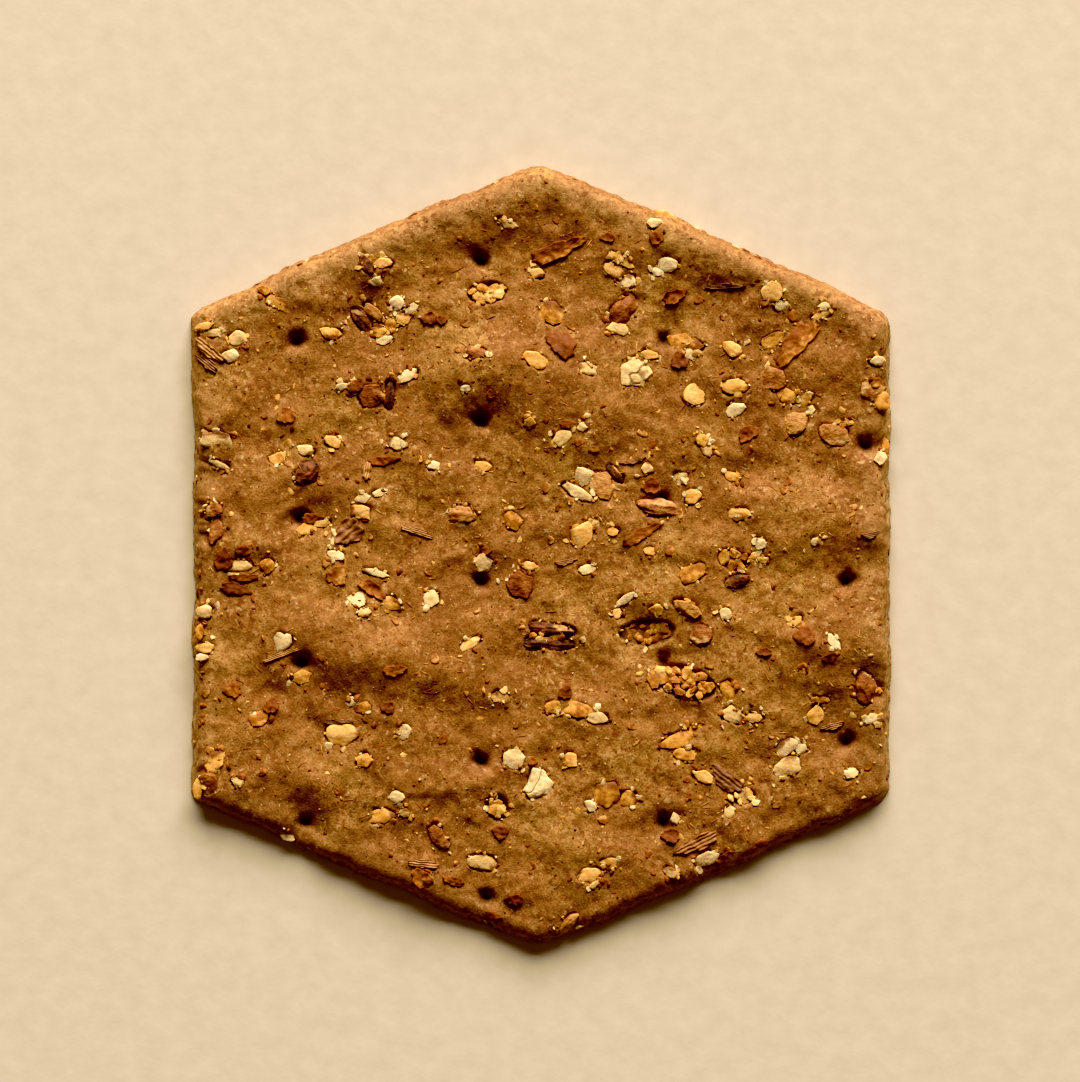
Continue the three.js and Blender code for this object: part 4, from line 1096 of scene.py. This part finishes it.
def baked_rye_dough():
    """Rye dough, rolled, docked and baked dry. The eye sees a matt brown skin, mottled where the oven
    caught it, with freckles of bran, a few burnt specks and pale flecks of flour, some of which stand in
    for tiny glints as painted highlights. Its rim is paler, partly rubbed and partly painted light, and
    painted shade darkens its gaps, holes and torn pits."""
    material, tree, shader = new_surface("baked_rye_dough")
    place = add(tree, "ShaderNodeTexCoord").outputs["Object"]
    wander = add(tree, "ShaderNodeTexNoise", {"Vector": place, "Scale": per_metre(0.5), "Detail": 2.0})
    ragged = add(tree, "ShaderNodeVectorMath", {
        0: wander.outputs["Color"], 1: (0.4 * MM,) * 3, 2: place}, operation="MULTIPLY_ADD")
    ragged = ragged.outputs["Vector"]

    broad = add(tree, "ShaderNodeTexNoise", {"Vector": place, "Scale": per_metre(9), "Detail": 4.0})
    skin = add(tree, "ShaderNodeValToRGB", {"Fac": broad.outputs["Fac"]}, ramp=[
        (0.3, "#a97447"), (0.5, "#b98350"), (0.7, "#c9985c")])
    patchy = add(tree, "ShaderNodeTexNoise", {"Vector": place, "Scale": per_metre(1.2), "Detail": 4.0})
    fine = add(tree, "ShaderNodeTexNoise", {"Vector": place, "Scale": per_metre(0.22), "Detail": 3.0})
    colour = skin.outputs["Color"]
    for field, deep in ((patchy, "#cebdac"), (fine, "#b6a99c")):
        grainy = add(tree, "ShaderNodeValToRGB", {"Fac": field.outputs["Fac"]}, ramp=[
            (0.3, deep), (0.5, "#ebe7e3"), (0.7, "#ffffff")])
        colour = add(tree, "ShaderNodeMix", {
            FACTOR: 1.0, COLOUR_A: colour, COLOUR_B: grainy.outputs["Color"],
        }, data_type="RGBA", blend_type="MULTIPLY").outputs[COLOUR_OUT]
    # The pale rim and cut wall: partly rubbed paler, partly painted light
    rubbed_and_lit = add(tree, "ShaderNodeAttribute", attribute_name="pale").outputs["Fac"]
    colour = add(tree, "ShaderNodeMix", {
        FACTOR: rubbed_and_lit, COLOUR_A: colour, COLOUR_B: linear("#c39b67")}, data_type="RGBA").outputs[COLOUR_OUT]
    crowd = add(tree, "ShaderNodeTexNoise", {"Vector": place, "Scale": per_metre(4), "Detail": 2.0})
    crowded = add(tree, "ShaderNodeMapRange", {
        "Value": crowd.outputs["Fac"], "From Min": 0.35, "From Max": 0.65, "To Min": 0.3, "To Max": 0.85})
    bits = add(tree, "ShaderNodeTexNoise", {
        "Vector": ragged, "Scale": per_metre(0.7), "Detail": 3.0, "Roughness": 0.6})
    apart = add(tree, "ShaderNodeSeparateColor", {"Color": bits.outputs["Color"]})
    for channel, least, most, fleck in (
            ("Red", 0.52, 0.6, "#754224"), ("Green", 0.53, 0.63, "#8c5834"), ("Blue", 0.58, 0.7, "#caa26e")):
        bit = add(tree, "ShaderNodeMapRange", {
            "Value": apart.outputs[channel], "From Min": least, "From Max": most})
        mask = add(tree, "ShaderNodeMath", {
            0: bit.outputs[0], 1: crowded.outputs[0]}, operation="MULTIPLY")
        colour = add(tree, "ShaderNodeMix", {
            FACTOR: mask.outputs[0], COLOUR_A: colour, COLOUR_B: linear(fleck),
        }, data_type="RGBA").outputs[COLOUR_OUT]
    # Pale specks of flour, which also stand in for tiny glints: painted highlights
    colour = spots(tree, place, colour, "#d6b888", size=0.8, radius=0.11, share=0.5)  # flour
    colour = spots(tree, ragged, colour, "#33231b", size=1.2, radius=0.13, share=0.6)  # burnt specks

    # Painted shade in the gaps round the grains, in the docking holes and in the wall's torn pits
    dark = add(tree, "ShaderNodeAttribute", attribute_name="dark").outputs["Fac"]
    colour = add(tree, "ShaderNodeMix", {
        FACTOR: dark, COLOUR_A: colour, COLOUR_B: linear("#553626")}, data_type="RGBA").outputs[COLOUR_OUT]

    matt = add(tree, "ShaderNodeMapRange", {"Value": fine.outputs["Fac"], "To Min": 0.72, "To Max": 0.9})
    bump = add(tree, "ShaderNodeBump", {
        "Height": fine.outputs["Fac"], "Strength": 0.6, "Distance": 0.1 * MM})
    shader.inputs["Specular IOR Level"].default_value = 0.25
    connect(tree, shader, colour, matt.outputs[0], bump.outputs["Normal"])
    return material


def grain_values(tree):
    """The tone, skin and pit of the grain at each point."""
    return [add(tree, "ShaderNodeAttribute", attribute_name=value).outputs["Fac"] for value in GRAIN_VALUES]


def grain_surface(name, tones, skin_colour, mottle, shine, clear=0.0):
    """A grain's surface: a colour for its tone, blotched, with its skin in its own colour and its pits
    darkened: painted shade in cracks, and flanks darker towards the bottom.
    Mottle is the size of the blotches in mm, shine the roughness where it is smoothest, and clear the
    share of the light that goes into it before it comes back."""
    material, tree, shader = new_surface(name)
    place = add(tree, "ShaderNodeTexCoord").outputs["Object"]
    tone, skin, pit = grain_values(tree)
    blotch = add(tree, "ShaderNodeTexNoise", {"Vector": place, "Scale": per_metre(mottle), "Detail": 4.0})
    drift = add(tree, "ShaderNodeMapRange", {
        "Value": blotch.outputs["Fac"], "From Min": 0.25, "From Max": 0.75, "To Min": -0.5, "To Max": 0.45})
    shade = add(tree, "ShaderNodeMath", {0: tone, 1: drift.outputs[0]}, operation="ADD", use_clamp=True)
    colour = add(tree, "ShaderNodeValToRGB", {"Fac": shade.outputs[0]}, ramp=tones).outputs["Color"]
    # Skin in its own colour; the pit colour paints shade in cracks and darkens flanks towards the bottom
    for mask, over in ((skin, skin_colour), (pit, "#3a2419")):
        softened = add(tree, "ShaderNodeMath", {0: mask, 1: 0.9}, operation="MULTIPLY")
        colour = add(tree, "ShaderNodeMix", {
            FACTOR: softened.outputs[0], COLOUR_A: colour, COLOUR_B: linear(over),
        }, data_type="RGBA").outputs[COLOUR_OUT]
    gloss = add(tree, "ShaderNodeMapRange", {
        "Value": blotch.outputs["Fac"], "To Min": shine, "To Max": shine + 0.25})
    grit = add(tree, "ShaderNodeTexNoise", {"Vector": place, "Scale": per_metre(0.4), "Detail": 3.0})
    bump = add(tree, "ShaderNodeBump", {
        "Height": grit.outputs["Fac"], "Strength": 0.8, "Distance": 0.1 * MM})
    shader.inputs["Specular IOR Level"].default_value = 0.2
    shader.inputs["Subsurface Weight"].default_value = clear
    shader.inputs["Subsurface Radius"].default_value = (1.0, 0.75, 0.45)  # red goes furthest
    shader.inputs["Subsurface Scale"].default_value = 0.5 * MM
    connect(tree, shader, colour, gloss.outputs[0], bump.outputs["Normal"])
    return material


def rye_kernel_skin():
    """Whole and split kernels with their skin on: toasted red-brown, dusty, with golden broken ends."""
    material, tree, shader = new_surface("rye_kernel_skin")
    place = add(tree, "ShaderNodeTexCoord").outputs["Object"]
    tone, skin, pit = grain_values(tree)
    blotch = add(tree, "ShaderNodeTexNoise", {"Vector": place, "Scale": per_metre(0.7), "Detail": 5.0})
    drift = add(tree, "ShaderNodeMapRange", {
        "Value": blotch.outputs["Fac"], "From Min": 0.3, "From Max": 0.7, "To Min": -0.35, "To Max": 0.3})
    shade = add(tree, "ShaderNodeMath", {0: tone, 1: drift.outputs[0]}, operation="ADD", use_clamp=True)
    brown = add(tree, "ShaderNodeValToRGB", {"Fac": shade.outputs[0]}, ramp=[
        (0.0, "#543322"), (0.3, "#834a28"), (0.6, "#9a5b30"), (1.0, "#bb844b")]).outputs["Color"]
    heart = add(tree, "ShaderNodeValToRGB", {"Fac": blotch.outputs["Fac"]}, ramp=[
        (0.35, "#ab7040"), (0.65, "#d2a871")]).outputs["Color"]
    colour = add(tree, "ShaderNodeMix", {
        FACTOR: skin, COLOUR_A: heart, COLOUR_B: brown}, data_type="RGBA").outputs[COLOUR_OUT]
    # Painted shade in the crease
    colour = add(tree, "ShaderNodeMix", {
        FACTOR: pit, COLOUR_A: colour, COLOUR_B: linear("#33211a")}, data_type="RGBA").outputs[COLOUR_OUT]
    gloss = add(tree, "ShaderNodeMapRange", {"Value": blotch.outputs["Fac"], "To Min": 0.5, "To Max": 0.8})
    grit = add(tree, "ShaderNodeTexNoise", {"Vector": place, "Scale": per_metre(0.35), "Detail": 3.0})
    bump = add(tree, "ShaderNodeBump", {
        "Height": grit.outputs["Fac"], "Strength": 0.8, "Distance": 0.2 * MM})
    shader.inputs["Specular IOR Level"].default_value = 0.3
    connect(tree, shader, colour, gloss.outputs[0], bump.outputs["Normal"])
    return material


def glassy_amber_grain():
    """Hard wheat and rye, broken and toasted: amber to gold, glassy on its breaks."""
    tones = [(0.0, "#a86c37"), (0.3, "#d69850"), (0.65, "#e4ab62"), (1.0, "#e9b876")]
    return grain_surface("glassy_amber_grain", tones, "#7c4627", mottle=0.8, shine=0.42, clear=0.5)


def floury_cream_grain():
    """The soft heart of the grain, broken open: chalky cream, dusty, with bits of skin left on."""
    tones = [(0.0, "#dbb071"), (0.5, "#e6c18b"), (1.0, "#e8ca99")]
    return grain_surface("floury_cream_grain", tones, "#7e4a29", mottle=0.7, shine=0.7, clear=0.5)


def toasted_bran():
    """Bran: thin skin of the grain, dried and toasted, from dark red to orange-brown, papery."""
    tones = [(0.0, "#542e1e"), (0.35, "#814726"), (0.7, "#aa672f"), (1.0, "#cc9a5a")]
    return grain_surface("toasted_bran", tones, "#8a4e2a", mottle=0.5, shine=0.55)


def striped_husk():
    """Husk: straw-like outer leaf of the grain, with veins along it that show as dark and pale stripes."""
    material, tree, shader = new_surface("striped_husk")
    place = add(tree, "ShaderNodeTexCoord").outputs["Object"]
    tone = add(tree, "ShaderNodeAttribute", attribute_name="tone").outputs["Fac"]
    across = add(tree, "ShaderNodeAttribute", attribute_name="skin").outputs["Fac"]
    straw = add(tree, "ShaderNodeValToRGB", {"Fac": tone}, ramp=[
        (0.3, "#7a4c30"), (0.6, "#a36838"), (1.0, "#d89a5c")])
    fibre = add(tree, "ShaderNodeTexNoise", {"Vector": place, "Scale": per_metre(0.9), "Detail": 4.0})
    wave = add(tree, "ShaderNodeMath", {0: across, 1: 24.0}, operation="MULTIPLY")
    bent = add(tree, "ShaderNodeMath", {
        0: fibre.outputs["Fac"], 1: 7.0, 2: wave.outputs[0]}, operation="MULTIPLY_ADD")
    veins = add(tree, "ShaderNodeMath", {0: bent.outputs[0]}, operation="SINE")
    stripe = add(tree, "ShaderNodeMapRange", {
        "Value": veins.outputs[0], "From Min": -0.2, "From Max": 1.2, "To Max": 0.65})
    colour = add(tree, "ShaderNodeMix", {
        FACTOR: stripe.outputs[0], COLOUR_A: straw.outputs["Color"], COLOUR_B: linear("#503626"),
    }, data_type="RGBA")
    dull = add(tree, "ShaderNodeMapRange", {"Value": fibre.outputs["Fac"], "To Min": 0.55, "To Max": 0.8})
    bump = add(tree, "ShaderNodeBump", {"Height": veins.outputs[0], "Strength": 0.5, "Distance": 0.1 * MM})
    connect(tree, shader, colour.outputs[COLOUR_OUT], dull.outputs[0], bump.outputs["Normal"])
    return material


def cream_paper():
    """Uncoated cream paper: matt, with a soft felt mark and faint fibres."""
    material, tree, shader = new_surface("cream_paper")
    place = add(tree, "ShaderNodeTexCoord").outputs["Object"]
    felt = add(tree, "ShaderNodeTexNoise", {"Vector": place, "Scale": per_metre(2.4), "Detail": 5.0})
    tint = add(tree, "ShaderNodeValToRGB", {"Fac": felt.outputs["Fac"]}, ramp=[
        (0.3, "#d2c2a9"), (0.7, "#d9c9b0")])
    dull = add(tree, "ShaderNodeMapRange", {"Value": felt.outputs["Fac"], "To Min": 0.85, "To Max": 0.95})
    bump = add(tree, "ShaderNodeBump", {
        "Height": felt.outputs["Fac"], "Strength": 0.3, "Distance": 0.12 * MM})
    shader.inputs["Specular IOR Level"].default_value = 0.15
    connect(tree, shader, tint.outputs["Color"], dull.outputs[0], bump.outputs["Normal"])
    return material


def make_cracker():
    draw = np.random.default_rng(GRAIN_SEED)
    kernels, amber, cream, bran, husks = Pile(), Pile(), Pile(), Pile(), Pile()
    add_kernels(kernels, draw)
    add_skinned(kernels, draw)
    add_chips(amber, draw, AMBER_CHIPS, 0.0)
    add_chips(cream, draw, CREAM_CHIPS, CRACK_DEPTH)
    add_flakes(bran, draw, BRAN_FLAKES, FLAKE_MESH, FLAKE_LIFT)
    add_flakes(husks, draw, HUSKS, FLAKE_MESH, FLAKE_LIFT)
    add_flakes(bran, draw, bits_of_bran(draw), BIT_MESH, BIT_LIFT)
    add_crumbled(amber, draw)
    outlines = kernels.outlines + amber.outlines + cream.outlines
    add_crumbs(amber, cream, bran, outlines)
    add_slivers(bran)
    cut = np.random.default_rng(CUT_CHIP_SEED)
    add_wall_chips((amber, cream, bran), cut)
    add_under_chips((amber, cream, bran), cut)

    pieces = [
        (make_dough(baked_rye_dough(), outlines), "baked_dough"),
        (kernels.piece("kernels", rye_kernel_skin(), BREAK_CREASE), "whole_kernel"),
        (amber.piece("amber_chips", glassy_amber_grain(), BREAK_CREASE), "amber_chip"),
        (cream.piece("cream_chips", floury_cream_grain(), BREAK_CREASE), "cream_chip"),
        (bran.piece("bran_flakes", toasted_bran()), "bran_flake"),
        (husks.piece("husks", striped_husk()), "bran_flake"),
    ]
    for piece, slot in pieces:
        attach(piece, "root")
        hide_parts("cracker")


# The picture's frame: its height in mm at the cracker, and the frame's middle from the cracker's
FRAME_HEIGHT = 123.5
FRAME_MIDDLE = (0.0, 1.65)
LENS = 150.0
SENSOR = 36.0
NEAREST_SEEN = 0.01  # metres from the lens

# The sheet of paper, a hair below so that it never shares a plane with the underside
PAPER_HALF = 600.0
PAPER_DROP = 0.02
FILL_COLOUR = "#ffd4a4"
FILL_STRENGTH = 0.14

# The picture is printed hard: each colour is black below a light of its own, and full above PRINT_WHITE
PRINT_BLACK = (0.05, 0.042, 0.0485)  # for red, green and blue
PRINT_TOE = (0.018, 0.007, 0.008)  # how softly each of them comes out of black
PRINT_WHITE = 0.98
PRINT_SAG = (0.0, 0.0, 0.03)  # how far each of them sags in half light, which turns shadows on paper yellow
SAG_LIGHT, SAG_REACH = 0.3, 0.06
PRINT_STEPS = (0.02, 0.03, 0.04, 0.05, 0.06, 0.075, 0.1, 0.15, 0.2, 0.24, 0.28, 0.32, 0.36, 0.4, 0.45)


def make_camera():
    lens = bpy.data.cameras.new("straight_down")
    lens.lens = LENS
    lens.sensor_width = SENSOR
    lens.clip_start = NEAREST_SEEN
    camera = bpy.data.objects.new("straight_down", lens)
    distance = FRAME_HEIGHT * LENS / SENSOR + THICKNESS / 2
    camera.location = (FRAME_MIDDLE[0] * MM, FRAME_MIDDLE[1] * MM, distance * MM)
    bpy.context.scene.collection.objects.link(camera)
    bpy.context.scene.camera = camera


def make_lamp(name, elevation, azimuth, distance, size, power, colour):
    """A soft box aimed at the cracker. Azimuth is counted from +X, and lengths are metres."""
    lamp = bpy.data.lights.new(name, "AREA")
    lamp.shape = "RECTANGLE"
    lamp.size, lamp.size_y = size
    lamp.energy = power
    lamp.color = linear(colour)[:3]
    holder = bpy.data.objects.new(name, lamp)
    up, around = math.radians(elevation), math.radians(azimuth)
    holder.location = (
        distance * math.cos(up) * math.cos(around),
        distance * math.cos(up) * math.sin(around),
        distance * math.sin(up),
    )
    holder.rotation_euler = (math.pi / 2 - up, 0, around + math.pi / 2)
    bpy.context.scene.collection.objects.link(holder)


def print_hard(curve, black, toe, sag):
    """Bends one colour's curve: a soft toe round black, then up to white, with a sag in half light."""
    curve.points[0].location = (0, 0)
    curve.points[1].location = (PRINT_WHITE, 1)
    for light in PRINT_STEPS:
        above = toe * math.log1p(math.exp((light - black) / toe)) - sag * bell(light - SAG_LIGHT, SAG_REACH)
        curve.points.new(light, above / (PRINT_WHITE - black))
    for point in curve.points:
        point.handle_type = "VECTOR"


def make_studio():
    """A sheet of cream paper, one low soft box beyond the cracker's upper corner, and a warm dim fill."""
    around = np.array([(-1, -1, 0), (1, -1, 0), (1, 1, 0), (-1, 1, 0)])
    corners = PAPER_HALF * around - [0, 0, PAPER_DROP]
    paper = mesh_piece("paper", corners, np.array([(0, 1, 2), (0, 2, 3)]), cream_paper(), {})
    make_lamp(
        "soft_box", elevation=27.5, azimuth=84, distance=2.6, size=(2.43, 1.39), power=184, colour="#fffcf8")
    world = bpy.data.worlds.new("fill")
    world.use_nodes = True
    background = world.node_tree.nodes["Background"]
    background.inputs["Color"].default_value = linear(FILL_COLOUR)
    background.inputs["Strength"].default_value = FILL_STRENGTH
    bpy.context.scene.world = world
    view = bpy.context.scene.view_settings
    view.view_transform = "Standard"
    view.use_curve_mapping = True
    for curve, black, toe, sag in zip(view.curve_mapping.curves, PRINT_BLACK, PRINT_TOE, PRINT_SAG):
        print_hard(curve, black, toe, sag)
    view.curve_mapping.update()


make_camera()
make_studio()
make_cracker()
